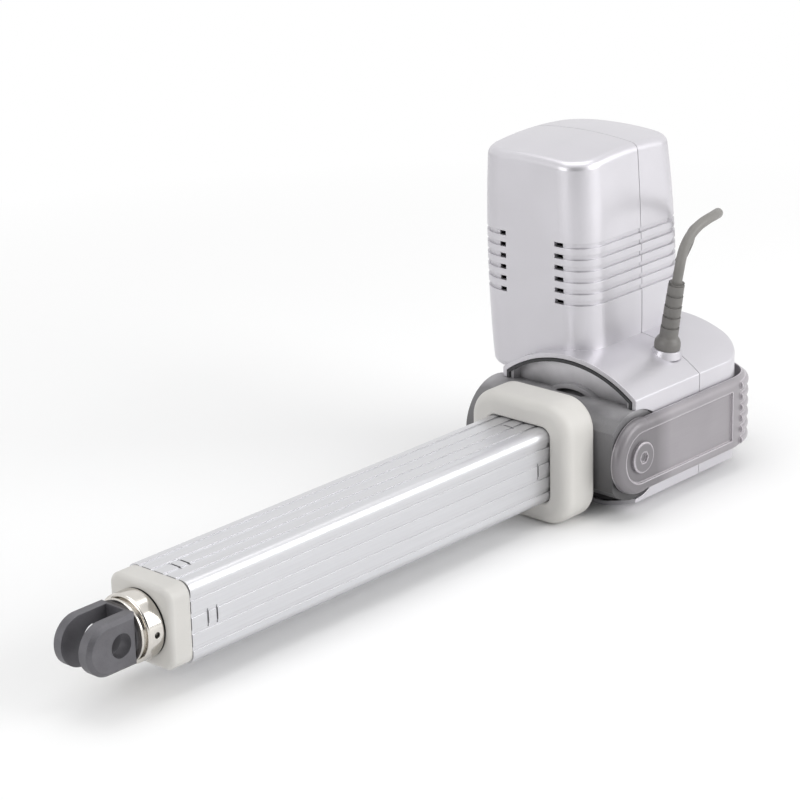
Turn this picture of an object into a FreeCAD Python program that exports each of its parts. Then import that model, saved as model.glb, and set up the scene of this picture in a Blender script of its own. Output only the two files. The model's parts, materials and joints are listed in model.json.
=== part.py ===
"""Electric linear actuator with a quick-release lever, in millimetres.

The origin is the middle of the rear pin bore. +X runs along the spindle to the rod end, +Z points
up to the motor, and +Y points to the side of the release lever.
"""
import FreeCAD
import Part
import math
import os
import re
import Sketcher

from FreeCAD import Placement, Rotation, Vector

doc = FreeCAD.newDocument("LinearActuator")
sheet = doc.addObject("Spreadsheet::Sheet", "Sizes")

SIZES = [
    ("stroke", 225, "travel of the rod"),
    ("rod_hole_x", 466, "front pin bore from the rear pin bore, rod in"),
    ("pin_radius", 6, "radius of both pin bores"),
    ("fork_half", 13, "half the width and height of both forks"),
    ("fork_slot", 12, "slot between the ears of a fork"),
    ("fork_nose", 7, "straight length of a front ear ahead of its bore"),
    ("fork_bevel", 2, "bevel round the ears"),
    ("floor_depth", 34, "surface that the part stands on, below the spindle"),
    ("housing_rear", 24, "rear face of the gear housing"),
    ("housing_half", 46, "half the width of the gear housing"),
    ("crown_height", 46.5, "top of the gear housing's arch"),
    ("arch_radius", 75, "radius of the arch"),
    ("belly_depth", 36.5, "lowest point of the belly's curve, cut flat at the floor"),
    ("belly_radius", 120, "radius of the belly"),
    ("housing_corner", 18, "rounding of the rear corners of the gear housing"),
    ("housing_edge", 1.2, "rounding of the crease between the arch and the sides"),
    ("shell_wall", 2.6, "wall of the plastic shells"),
    ("seam_x", 68.5, "parting plane of the shells"),
    ("seam_gap", 0.4, "fine gap along the parting plane"),
    ("pivot_x", 125, "lever pivot, at the front rim of the gear housing"),
    ("motor_front", 118, "front face of the motor housing"),
    ("motor_depth", 91, "motor housing, front to back"),
    ("motor_side", 6, "lever side of the motor housing"),
    ("motor_width", 76, "motor housing, side to side"),
    ("motor_corner", 16.7, "rounding of its upright corners"),
    ("motor_base", 26, "underside of the motor housing's overhang"),
    ("motor_top", 155, "top of the motor housing's dome"),
    ("dome_radius", 250, "radius of the dome"),
    ("motor_wide", 88, "height at which the motor housing is widest"),
    ("draft_rear", 5, "how far its rear face leans in at the top"),
    ("draft_near", 3.5, "how far its face on the lever's side leans in at the top"),
    ("draft_low", 1.8, "how far its front and far faces draw in at the foot"),
    ("dome_edge", 5, "rounding round the dome"),
    ("vent_first", 71.5, "height of the lowest cooling groove"),
    ("vent_pitch", 6.4, "pitch of the cooling grooves"),
    ("vent_height", 2.6, "height of a cooling groove"),
    ("vent_depth", 1.3, "depth of a cooling groove"),
    ("vent_gap", 17, "half of the plain stretch between the grooves on the front"),
    ("vent_rear", 20, "plane that the cooling grooves reach to, round the rear corners"),
    ("barrel_radius", 25, "round barrel of the front cover, along the pivot"),
    ("barrel_inset", 1, "setback of the barrel's end behind the housing's side, under the lever"),
    ("barrel_far", 52, "end of the barrel on the other side"),
    ("barrel_wall", 3, "wall of the barrel"),
    ("cover_rim", 1, "setback of the front cover behind the shells' front edge"),
    ("rim_width", 1.7, "dark rim along the front of the cover"),
    ("cover_recess", 6, "depth of the front cover's hollow"),
    ("cover_plate", 12, "thickness of the front cover's plate"),
    ("lip_radius", 29, "lip round the neck of the front cover"),
    ("collar_width", 68, "square collar"),
    ("collar_corner", 17, "rounding of the collar"),
    ("collar_start", 144, "rear face of the collar"),
    ("collar_length", 24, "length of the collar"),
    ("collar_edge", 6, "rounding of the collar's front edge"),
    ("collar_back_edge", 3.5, "rounding of its rear edge"),
    ("tube_width", 42, "square outer tube"),
    ("tube_corner", 5, "rounding of the tube"),
    ("tube_wall", 2.7, "wall of the tube"),
    ("tube_start", 146, "rear end of the tube"),
    ("tube_end", 429, "front end of the tube"),
    ("groove_width", 2.2, "width of a groove along the tube"),
    ("groove_depth", 0.45, "depth of a groove along the tube"),
    ("groove_pitch", 8.4, "pitch of the grooves across a face"),
    ("stake_length", 9, "length of a stake mark"),
    ("stake_pitch", 6, "distance between the two stake marks"),
    ("cap_length", 13, "visible length of the end cap"),
    ("cap_plug", 12, "part of the end cap inside the tube"),
    ("cap_edge", 2.5, "rounding of the end cap's front edge"),
    ("rod_radius", 15, "outside of the piston tube"),
    ("rod_wall", 2.5, "wall of the piston tube"),
    ("ring_radius", 17.3, "bright ring on the rod end"),
    ("ring_length", 10, "length of that ring"),
    ("nut_length", 24, "guided length of the drive nut"),
    ("nut_start", 156, "rear face of the drive nut, rod in"),
    ("nut_spigot", 12, "spigot of the nut inside the piston tube"),
    ("spindle_radius", 8, "outside of the spindle's thread"),
    ("spindle_end", 428, "front end of the spindle"),
    ("hub_radius", 9, "plain part of the spindle under wheel and clutch"),
    ("journal_radius", 6, "spindle journal in the bearing"),
    ("bearing_radius", 14, "outside of the spindle bearing"),
    ("bearing_width", 8, "width of the spindle bearing"),
    ("running_gap", 0.05, "radial clearance of a running fit"),
    ("fit_gap", 0.3, "clearance between parts that don't run on each other"),
    ("wheel_teeth", 40, "teeth of the worm wheel"),
    ("gear_module", 1.25, "module of the worm drive"),
    ("wheel_width", 16, "width of the worm wheel"),
    ("worm_radius", 7, "pitch radius of the worm"),
    ("worm_turns", 7.5, "turns of the worm's thread, which leave a gap at the wheel's middle tooth"),
    ("mesh_gap", 0.5, "backlash of the worm drive"),
    ("clutch_radius", 12, "outside of the clutch sleeve"),
    ("clutch_flange", 16, "flanges of the clutch sleeve"),
    ("yoke_pin_height", 13.5, "height of the yoke's pins above the pivot"),
    ("yoke_pin_radius", 2.2, "radius of the yoke's pins"),
    ("stub_radius", 5, "stubs of the release yoke"),
    ("frame_half", 32, "half the width of the gear frame"),
    ("frame_top", 36, "top of the gear frame, under the motor"),
    ("can_radius", 30, "motor can"),
    ("can_height", 92, "height of the motor can"),
    ("can_wall", 2, "wall of the motor can"),
    ("shaft_radius", 3, "motor shaft"),
    ("lever_thick", 5.5, "thickness of the lever"),
    ("lever_gap", 0.6, "gap between the lever and the housing"),
    ("lever_half", 20.5, "half the height of the lever"),
    ("lever_turn_x", 42.3, "where the lever starts to turn round the rear"),
    ("lever_bend", 31, "outer radius of that turn"),
    ("lever_inner", 24, "inner radius of that turn, which clears the housing as the lever swings"),
    ("lever_edge", 4, "rounding of the lever's outer edges"),
    ("lever_boss", 21, "radius of the lever's round end"),
    ("lever_panel", 14.3, "half the height of the lever's sunk panel"),
    ("panel_depth", 1.2, "depth of the sunk panel"),
    ("grip_end", 21, "end of the grip behind the housing"),
    ("rib_pitch", 6.4, "pitch of the finger ribs"),
    ("rib_radius", 2.2, "radius of a finger rib"),
    ("cap_screw_radius", 8.7, "head of the lever's screw"),
    ("gland_x", 74.5, "cable gland, in front of the seam line"),
    ("gland_y", 27.5, "cable gland, beside the motor housing"),
    ("gland_tilt", 9.3, "lean of the gland, in degrees"),
    ("gland_base", 39.5, "height of the gland's foot"),
    ("gland_length", 43, "length of the gland"),
    ("cable_radius", 2.8, "radius of the cable"),
    ("coil_radius", 31, "middle of the coil's turns"),
    ("coil_x", -52, "centre of the coil"),
    ("coil_y", -78, "centre of the coil"),
    ("plug_radius", 7, "radius of the plug"),
    ("plug_length", 34, "length of the plug"),
]
for row, (alias, number, meaning) in enumerate(SIZES, 1):
    sheet.set(f"A{row}", meaning)
    sheet.set(f"B{row}", str(number))
    sheet.setAlias(f"B{row}", alias)
doc.recompute()

ALONG = {
    "x": Rotation(Vector(0, 1, 0), 90),
    "y": Rotation(Vector(1, 0, 0), -90),
    "z": Rotation(),
}
parts = []


def size(alias):
    """The number in a cell of the sheet."""
    return float(sheet.get(alias))


def bind(obj, path, text):
    """Binds a property to a formula in which {name} is a cell of the sheet."""
    obj.setExpression(path, re.sub(r"\{(\w+)\}", r"Sizes.\1", text))


def primitive(kind, name, sizes, place, turn):
    """A Part primitive with its sizes and its place bound to the sheet."""
    obj = doc.addObject(kind, name)
    obj.Placement = Placement(Vector(), turn)
    for prop, text in sizes.items():
        bind(obj, prop, text)
    for axis, text in zip("xyz", place):
        bind(obj, ".Placement.Base." + axis, text)
    return obj


def block(name, x, y, z):
    """A box from its low and high formulas along each axis."""
    sizes = {}
    for prop, (low, high) in zip(("Length", "Width", "Height"), (x, y, z)):
        sizes[prop] = f"({high}) - ({low})"
    return primitive("Part::Box", name, sizes, (x[0], y[0], z[0]), Rotation())


def place_on(axis, start, centre):
    """The three formulas of a point at start along an axis, with the two other coordinates."""
    others = list(centre)
    return [start if name == axis else others.pop(0) for name in "xyz"]


def drum(name, axis, radius, start, end, centre=("0", "0")):
    """A cylinder along an axis; centre holds the two other coordinates."""
    sizes = {"Radius": radius, "Height": f"({end}) - ({start})"}
    return primitive("Part::Cylinder", name, sizes, place_on(axis, start, centre), ALONG[axis])


def cone(name, axis, first, last, start, end, centre=("0", "0")):
    """A cone along an axis, from one radius to another."""
    sizes = {"Radius1": first, "Radius2": last, "Height": f"({end}) - ({start})"}
    return primitive("Part::Cone", name, sizes, place_on(axis, start, centre), ALONG[axis])


def joined(name, *items):
    """The union of some objects."""
    obj = doc.addObject("Part::MultiFuse", name)
    obj.Shapes = list(items)
    return obj


def common(name, *items):
    """What some objects share."""
    obj = doc.addObject("Part::MultiCommon", name)
    obj.Shapes = list(items)
    return obj


def cut(name, base, *tools):
    """An object less some tools."""
    obj = doc.addObject("Part::Cut", name)
    obj.Base = base
    obj.Tool = tools[0] if len(tools) == 1 else joined(name + "Tools", *tools)
    return obj


def ring(name, axis, outer, inner, start, end, centre=("0", "0")):
    """A plain round tube."""
    hole = drum(name + "Bore", axis, inner, f"({start}) - 1", f"({end}) + 1", centre)
    return cut(name, drum(name + "Body", axis, outer, start, end, centre), hole)


def edges_where(shape, test):
    """The numbers of the edges for which a test on the edge is true."""
    return [n for n, edge in enumerate(shape.Edges, 1) if test(edge)]


def rounded(name, base, radius, test):
    """Fillets on the edges that a test picks; the radius is a formula's cell."""
    doc.recompute()
    obj = doc.addObject("Part::Fillet", name)
    obj.Base = base
    obj.Edges = [(n, radius, radius) for n in edges_where(base.Shape, test)]
    return obj


def middle(edge):
    """The middle of an edge's box."""
    return edge.BoundBox.Center


def runs_along(edge, axis):
    """Whether an edge is a straight line along an axis."""
    box = edge.BoundBox
    spans = {"x": box.XLength, "y": box.YLength, "z": box.ZLength}
    return spans.pop(axis) > 0.5 and max(spans.values()) < 0.01


def keep(obj, label):
    """Takes an object as a finished sub-part."""
    obj.Label = label
    parts.append(obj)
    return obj


def plane_of(body, role):
    """One of a body's origin planes or axes."""
    return [item for item in body.Origin.OriginFeatures if item.Role == role][0]


def sketch_on(body, role, offset):
    """A sketch on an origin plane of its body, moved along the plane's normal."""
    sketch = body.newObject("Sketcher::SketchObject", body.Name + "Sketch")
    sketch.AttachmentSupport = [(plane_of(body, role), "")]
    sketch.MapMode = "FlatFace"
    bind(sketch, ".AttachmentOffset.Base.z", offset)
    return sketch


def rounded_square(body, width, corner, offset):
    """A square with round corners about the spindle's axis, fully constrained."""
    sketch = sketch_on(body, "YZ_Plane", offset)
    half, radius = size("tube_width") / 2, size("tube_corner")
    flat = half - radius
    for quarter in range(4):
        turn = Rotation(Vector(0, 0, 1), 90 * quarter)
        start = turn.multVec(Vector(half, -flat, 0))
        end = turn.multVec(Vector(half, flat, 0))
        sketch.addGeometry(Part.LineSegment(start, end))
        centre = turn.multVec(Vector(flat, flat, 0))
        angle = math.pi / 2 * quarter
        circle = Part.Circle(centre, Vector(0, 0, 1), radius)
        sketch.addGeometry(Part.ArcOfCircle(circle, angle, angle + math.pi / 2))
    for quarter in range(4):
        line, arc, after = 2 * quarter, 2 * quarter + 1, (2 * quarter + 2) % 8
        sketch.addConstraint(Sketcher.Constraint("Tangent", line, 2, arc, 1))
        sketch.addConstraint(Sketcher.Constraint("Tangent", arc, 2, after, 1))
        kind = "Vertical" if quarter % 2 == 0 else "Horizontal"
        sketch.addConstraint(Sketcher.Constraint(kind, line))
    for arc in (3, 5, 7):
        sketch.addConstraint(Sketcher.Constraint("Equal", 1, arc))
    sketch.addConstraint(Sketcher.Constraint("Symmetric", 1, 3, 5, 3, -1, 1))
    named = [
        ("corner", Sketcher.Constraint("Radius", 1, radius), corner),
        ("across", Sketcher.Constraint("DistanceX", 5, 3, 1, 3, 2 * flat), f"{width} - 2 * ({corner})"),
        ("upright", Sketcher.Constraint("DistanceY", 5, 3, 1, 3, 2 * flat), f"{width} - 2 * ({corner})"),
    ]
    for name, constraint, text in named:
        number = sketch.addConstraint(constraint)
        sketch.renameConstraint(number, name)
        bind(sketch, "Constraints." + name, text)
    return sketch


def rectangle(body, role, offset, low, high):
    """A rectangle on an origin plane, from two corners given as pairs of formulas."""
    sketch = sketch_on(body, role, offset)
    corners = [Vector(1, 1, 0), Vector(3, 1, 0), Vector(3, 2, 0), Vector(1, 2, 0)]
    for n, corner in enumerate(corners):
        sketch.addGeometry(Part.LineSegment(corner, corners[(n + 1) % 4]))
    for n in range(4):
        sketch.addConstraint(Sketcher.Constraint("Coincident", n, 2, (n + 1) % 4, 1))
        kind = "Horizontal" if n % 2 == 0 else "Vertical"
        sketch.addConstraint(Sketcher.Constraint(kind, n))
    places = [("low_x", "DistanceX", 0, 1, low[0]), ("low_y", "DistanceY", 0, 1, low[1])]
    places += [("high_x", "DistanceX", 2, 1, high[0]), ("high_y", "DistanceY", 2, 1, high[1])]
    for name, kind, line, point, text in places:
        number = sketch.addConstraint(Sketcher.Constraint(kind, -1, 1, line, point, 1))
        sketch.renameConstraint(number, name)
        bind(sketch, "Constraints." + name, text)
    return sketch


def pad(body, sketch, length):
    """Adds a sketch's outline, drawn out along its normal."""
    feature = body.newObject("PartDesign::Pad", body.Name + "Pad")
    feature.Profile = sketch
    bind(feature, "Length", length)
    body.Tip = feature
    return feature


def pocket(body, sketch, length):
    """Cuts a sketch's outline along its normal, which the sketch's place puts behind the cut."""
    feature = body.newObject("PartDesign::Pocket", body.Name + "Pocket")
    feature.Profile = sketch
    feature.Reversed = True
    bind(feature, "Length", length)
    body.Tip = feature
    return feature


def four_times(body, *features):
    """Repeats features on the four faces of a square body."""
    pattern = body.newObject("PartDesign::PolarPattern", body.Name + "Faces")
    pattern.Originals = list(features)
    pattern.Axis = (plane_of(body, "X_Axis"), [""])
    pattern.Angle = 360
    pattern.Occurrences = 4
    body.Tip = pattern
    return pattern


def soft_edge(body, radius, test, kind="Fillet"):
    """A fillet or chamfer of a body's own edges that a test picks."""
    doc.recompute()
    base = body.Tip
    feature = body.newObject("PartDesign::" + kind, body.Name + kind)
    feature.Base = (base, [f"Edge{n}" for n in edges_where(base.Shape, test)])
    bind(feature, "Radius" if kind == "Fillet" else "Size", radius)
    body.Tip = feature
    return feature


def on_plane(edge, axis, level):
    """Whether an edge lies in the plane at a level along an axis."""
    box = edge.BoundBox
    low, high = {"x": (box.XMin, box.XMax), "y": (box.YMin, box.YMax), "z": (box.ZMin, box.ZMax)}[axis]
    return abs(low - level) < 0.01 and abs(high - level) < 0.01


def distance_from_axis(edge):
    """How far the middle of an edge stands from the spindle's axis, along Y or Z."""
    point = middle(edge)
    return max(abs(point.y), abs(point.z))


# Housing


def gear_form(name, inset, front):
    """The gear housing's outline, smaller all round by an inset."""
    rear = f"{{housing_rear}} + ({inset})"
    side = f"{{housing_half}} - ({inset})"
    floor = f"({inset}) - {{floor_depth}}"
    body = block(name + "Block", (rear, front), (f"-({side})", side), (floor, "{crown_height}"))
    corner = max(size("housing_corner") - inset_of(inset), 1.5)
    body = rounded(name + "Corners", body, corner, lambda e: runs_along(e, "z") and middle(e).x < size("seam_x"))
    arch = drum(name + "Arch", "x", f"{{arch_radius}} - ({inset})", "0", front, ("0", "{crown_height} - {arch_radius}"))
    belly = drum(name + "Belly", "x", f"{{belly_radius}} - ({inset})", "0", front, ("0", "{belly_radius} - {belly_depth}"))
    body = common(name + "Form", body, arch, belly)
    if inset != "0":
        return body
    upper = lambda e: middle(e).z > 22 and not on_plane(e, "x", size("pivot_x")) and e.BoundBox.ZLength < 30
    return rounded(name, body, size("housing_edge"), upper)


def inset_of(text):
    """The inset that a form is made with, as a number."""
    known = {"0": 0.0, "{shell_wall}": size("shell_wall"), "{vent_depth}": size("vent_depth")}
    return known.get(text, size("shell_wall") + size("fit_gap"))


def motor_outline(name, level, rear, front, far, near, corner):
    """A rounded rectangle at a height, as a sketch with its four sides and its corners bound."""
    sketch = doc.addObject("Sketcher::SketchObject", name)
    bind(sketch, ".Placement.Base.z", level)
    places = [(3, 1), (3, 3), (1, 3), (1, 1)]
    for quarter, (x, y) in enumerate(places):
        turn = Rotation(Vector(0, 0, 1), 90 * quarter)
        start = Vector(x, y, 0) + turn.multVec(Vector(0.5, 0, 0))
        if quarter % 2 == 0:
            end = Vector(x, places[(quarter + 1) % 4][1], 0) + turn.multVec(Vector(0.5, 0, 0))
        else:
            end = Vector(places[(quarter + 1) % 4][0], y, 0) + turn.multVec(Vector(0.5, 0, 0))
        sketch.addGeometry(Part.LineSegment(start, end))
        after = places[(quarter + 1) % 4]
        angle = math.pi / 2 * quarter
        circle = Part.Circle(Vector(*after, 0), Vector(0, 0, 1), 0.5)
        sketch.addGeometry(Part.ArcOfCircle(circle, angle, angle + math.pi / 2))
    for quarter in range(4):
        line, arc, after = 2 * quarter, 2 * quarter + 1, (2 * quarter + 2) % 8
        sketch.addConstraint(Sketcher.Constraint("Tangent", line, 2, arc, 1))
        sketch.addConstraint(Sketcher.Constraint("Tangent", arc, 2, after, 1))
        sketch.addConstraint(Sketcher.Constraint("Vertical" if quarter % 2 == 0 else "Horizontal", line))
    for arc in (3, 5, 7):
        sketch.addConstraint(Sketcher.Constraint("Equal", 1, arc))
    named = [
        ("corner", Sketcher.Constraint("Radius", 1, 0.5), corner),
        ("front", Sketcher.Constraint("DistanceX", -1, 1, 1, 3, 3), f"{front} - ({corner})"),
        ("near", Sketcher.Constraint("DistanceY", -1, 1, 1, 3, 3), f"{near} - ({corner})"),
        ("rear", Sketcher.Constraint("DistanceX", -1, 1, 5, 3, 1), f"{rear} + {corner}"),
        ("far", Sketcher.Constraint("DistanceY", -1, 1, 5, 3, 1), f"{far} + {corner}"),
    ]
    for title, constraint, text in named:
        number = sketch.addConstraint(constraint)
        sketch.renameConstraint(number, title)
        bind(sketch, "Constraints." + title, text)
    return sketch


def motor_form(name, inset):
    """The motor housing's outline, a little fuller at mid height and smaller all round by an inset."""
    front = f"{{motor_front}} - ({inset})"
    rear = f"{{motor_front}} - {{motor_depth}} + ({inset})"
    near = f"{{motor_side}} - ({inset})"
    far = f"{{motor_side}} - {{motor_width}} + ({inset})"
    corner = f"({{motor_corner}} - ({inset}))"
    foot = motor_outline(name + "Foot", f"{{motor_base}} + ({inset})", rear + " + 1", front + " - {draft_low}",
                         far + " + {draft_low}", near, corner)
    wide = motor_outline(name + "Wide", "{motor_wide}", rear, front, far + " - 1", near, corner)
    head = motor_outline(name + "Head", "{motor_top}", rear + " + {draft_rear}", front + " - 0.6", far,
                         near + " - {draft_near}", corner)
    loft = doc.addObject("Part::Loft", name + "Loft")
    loft.Sections = [foot, wide, head]
    loft.Solid = True
    loft.Ruled = False
    sizes = {"Radius": f"{{dome_radius}} - ({inset})"}
    place = ("{motor_front} - {motor_depth} / 2", "{motor_side} - {motor_width} / 2", "{motor_top} - {dome_radius}")
    dome = primitive("Part::Sphere", name + "Dome", sizes, place, Rotation())
    body = common(name + "Domed", loft, dome)
    soft = size("dome_edge") - inset_of(inset) / 2
    low = size("motor_base") + inset_of(inset)
    rim = lambda e: e.BoundBox.ZLength < 14 and (middle(e).z > 100 or on_plane(e, "z", low))
    return rounded(name, body, soft, rim)


def tilted(obj):
    """Leans an object with the cable gland and puts it at the gland's foot."""
    obj.Placement = Placement(Vector(), Rotation(Vector(-1, 0, 0), size("gland_tilt")))
    bind(obj, ".Placement.Base.x", "{gland_x}")
    bind(obj, ".Placement.Base.y", "{gland_y}")
    bind(obj, ".Placement.Base.z", "{gland_base}")
    return obj


def cooling_grooves():
    """The tool for the grooves that wrap round the motor housing's front corners."""
    rear, front = "{vent_rear}", "{motor_front} + 5"
    far, near = "{motor_side} - {motor_width} - 5", "{motor_side} + 5"
    low, high = "{vent_first} - 5", "{vent_first} + 8 * {vent_pitch}"
    shell = block("VentSpace", (rear, front), (far, near), (low, high))
    core = motor_form("VentCore", "{vent_depth}")
    mid = "{motor_side} - {motor_width} / 2"
    plain = block("VentPlain", (rear, front), (f"{mid} - {{vent_gap}}", f"{mid} + {{vent_gap}}"), (low, high))
    slabs = []
    for n in range(6):
        level = f"{{vent_first}} + {n} * {{vent_pitch}}"
        slabs.append(block("VentSlab", (rear, front), (far, near), (level, f"{level} + {{vent_height}}")))
    grooves = common("VentTool", cut("VentSkin", shell, core, plain), joined("VentSlabs", *slabs))
    return joined("VentsAndHoles", grooves, *vent_holes(mid))


def vent_holes(mid):
    """Deep holes at the front ends of the cooling grooves."""
    holes = []
    for n in range(6):
        level = f"{{vent_first}} + {n} * {{vent_pitch}}"
        for side in (1, -1):
            start = f"{mid} + {side} * ({{vent_gap}} + 2.5) - 2.5"
            holes.append(block("VentHole", ("{motor_front} - {shell_wall} - 1", "{motor_front} + 1"),
                               (start, f"{start} + 5"), (level, f"{level} + {{vent_height}}")))
    return holes


SCREW_PLACES = [
    ("{housing_half} - 6.4", "-21"),
    ("6.4 - {housing_half}", "{crown_height} - 21.5"),
    ("{housing_half} - 6.4", "{crown_height} - 21"),
    ("{motor_side} - 11", "{motor_top} - 16"),
    ("{motor_side} - {motor_width} + 11", "{motor_top} - 16"),
]


def shells():
    """The two plastic shells that meet in the parting plane, and the screws that hold them."""
    outer = joined("ShellOuter", gear_form("GearOuter", "0", "{pivot_x}"), motor_form("MotorOuter", "0"))
    boss = tilted(primitive("Part::Cone", "GlandBoss", {"Radius1": "8.8", "Radius2": "7.8", "Height": "4.4"}, ("0", "0", "0"), Rotation()))
    outer = joined("ShellBossed", outer, boss)
    inner_gear = gear_form("GearInner", "{shell_wall}", "{pivot_x} + 1")
    inner = joined("ShellInner", inner_gear, motor_form("MotorInner", "{shell_wall}"))
    barrel_way = drum("BarrelWay", "y", "{barrel_radius} + {fit_gap}", "-70", "70", ("{pivot_x}", "0"))
    shank_way = drum("ShankWay", "x", "{fork_half} - 1 + {fit_gap}", "0", "{housing_rear} + 10")
    gland_way = tilted(primitive("Part::Cylinder", "GlandWay", {"Radius": "6.2", "Height": "20"}, ("0", "0", "0"), Rotation()))
    bind(gland_way, ".Placement.Base.y", "{gland_y} - 10 * sin({gland_tilt})")
    bind(gland_way, ".Placement.Base.z", "{gland_base} - 10 * cos({gland_tilt})")
    hollow = cut("ShellHollow", outer, inner, barrel_way, shank_way, gland_way, cooling_grooves())
    bosses, holes, heads, screws = [], [], [], []
    for y, z in SCREW_PLACES:
        start = "{housing_rear} + 1"
        end = "{pivot_x} - 20" if "motor" not in z else "{motor_front} - 1"
        bosses.append(drum("ScrewBoss", "x", "4.5", start, end, (y, z)))
        holes.append(drum("ScrewHole", "x", "1.9", "0", "{seam_x} + 16.5", (y, z)))
        heads.append(drum("HeadHole", "x", "3.6", "0", "{housing_rear} + 12", (y, z)))
        shank = drum("ShellScrewShank", "x", "1.6", "{housing_rear} + 11", "{seam_x} + 16", (y, z))
        head = drum("ShellScrewHead", "x", "3.2", "{housing_rear} + 12.1", "{housing_rear} + 14.9", (y, z))
        socket = drum("ShellScrewSocket", "x", "1.4", "{housing_rear} + 12", "{housing_rear} + 13.6", (y, z))
        screws.append(cut("ShellScrew", joined("ShellScrewBody", shank, head), socket))
        heads.append(drum("HeadSeat", "x", "3.6", "{housing_rear} + 11", "{housing_rear} + 15", (y, z)))
    solid = joined("ShellSolid", hollow, common("ScrewBosses", joined("BossRods", *bosses), outer))
    drilled = cut("ShellDrilled", solid, *holes, *heads)
    half = "{seam_gap} / 2"
    rear_side = block("RearSide", ("0", f"{{seam_x}} - {half}"), ("-80", "80"), ("-50", "170"))
    front_side = block("FrontSide", (f"{{seam_x}} + {half}", "{pivot_x} + 5"), ("-80", "80"), ("-50", "170"))
    keep(common("RearShell", drilled, rear_side), "rear_shell")
    keep(common("FrontShell", drilled, front_side), "front_shell")
    keep(joined("ShellScrews", *screws), "shell_screws")


def front_cover():
    """The dark cover with the barrel that carries the collar and the lever's pivot."""
    gap = "{shell_wall} + {fit_gap}"
    front = "{pivot_x} - {cover_rim}"
    rear = f"{front} - {{cover_plate}}"
    plate = common("CoverPlate", gear_form("CoverForm", gap, front),
                   block("CoverSlab", (rear, front), ("-60", "60"), ("-40", "60")))
    near, far = "({housing_half} - {barrel_inset})", "-{barrel_far}"
    pivot = ("{pivot_x}", "0")
    barrel = drum("CoverBarrel", "y", "{barrel_radius}", far, near, pivot)
    behind = block("BarrelBehind", ("{pivot_x} - 30", rear), ("3 - ({housing_half} - {barrel_inset})", "({housing_half} - {barrel_inset}) - 3"), ("-30", "30"))
    saddle = block("CollarSeat", ("{collar_start} - {fit_gap}", "{collar_start} + 20"),
                   ("-{collar_width} / 2 - {fit_gap}", "{housing_half} + 5"), ("-40", "40"))
    hollow = common("CoverHollowForm", gear_form("CoverHollow", gap, "{pivot_x} + 1"),
                    block("CoverHollowSlab", (f"{front} - {{cover_recess}}", "{pivot_x} + 1"),
                          ("4 - {housing_half} + {shell_wall}", "{housing_half} - {shell_wall} - 4"),
                          ("0", "{crown_height} - {shell_wall} - 2.5")))
    lip = common("CoverLip", ring("LipRing", "x", "{lip_radius}", "{lip_radius} - 2.5", rear, f"{front} - 2"),
                 block("LipTop", (rear, front), ("-40", "40"), ("0", "40")))
    body = joined("CoverBody", cut("CoverDished", plate, hollow), cut("CoverBarrelBody", barrel, behind), lip)
    moat = common("CoverMoat", ring("MoatRing", "x", "{lip_radius} - 2.5", "{lip_radius} - 5.5", f"{rear} + 3", "{pivot_x}"),
                  block("MoatTop", (rear, "{pivot_x}"), ("-40", "40"), ("{barrel_radius} - 2", "40")))
    room = cut("BarrelRoomBehindSeat",
               drum("BarrelRoom", "y", "{barrel_radius} - {barrel_wall}", "10 - {barrel_far}", "({housing_half} - {barrel_inset}) - 3", pivot),
               block("SeatWall", ("{collar_start} - {fit_gap} - {barrel_wall}", "{collar_start} + 10"), ("20", "{housing_half}"), ("-40", "40")))
    gate = drum("BarrelGate", "x", "{clutch_flange} + 1.5", "{pivot_x} - 20", "{pivot_x}")
    mouth = drum("BarrelMouth", "x", "{rod_radius} + 1", "{pivot_x}", "{collar_start} + 5")
    stub_near = drum("StubBore", "y", "{stub_radius} + {running_gap}", "0", "({housing_half} - {barrel_inset}) + 1", pivot)
    stub_far = drum("StubBlind", "y", "{stub_radius} + {running_gap}", "3 - {barrel_far}", "0", pivot)
    ways = [drum("CollarScrewWay", "x", "2.3", "{pivot_x} - 20", "{collar_start} + 5", (y, z)) for y, z in collar_screw_places()]
    rim_front = "{pivot_x} + 0.5"
    inner_gap = f"{gap} + {{rim_width}}"
    trim = cut("RimRing", gear_form("RimOuter", gap, rim_front), gear_form("RimInner", inner_gap, rim_front + " + 1"))
    rim = common("CoverRim", trim, block("RimSpace", (f"{front} - 2.5", rim_front), ("-60", "60"), ("{barrel_radius} + 0.3", "60")))
    keep(cut("FrontCover", body, saddle, moat, room, gate, mouth, stub_near, stub_far, rim, *ways), "front_cover")
    keep(rim, "cover_rim")


def collar_screw_places():
    """Where the four long screws of the collar stand, across the spindle."""
    return [(f"{side} * ({{collar_width}} / 2 - 6)", f"{level} * 12") for side in (1, -1) for level in (1, -1)]


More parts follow.
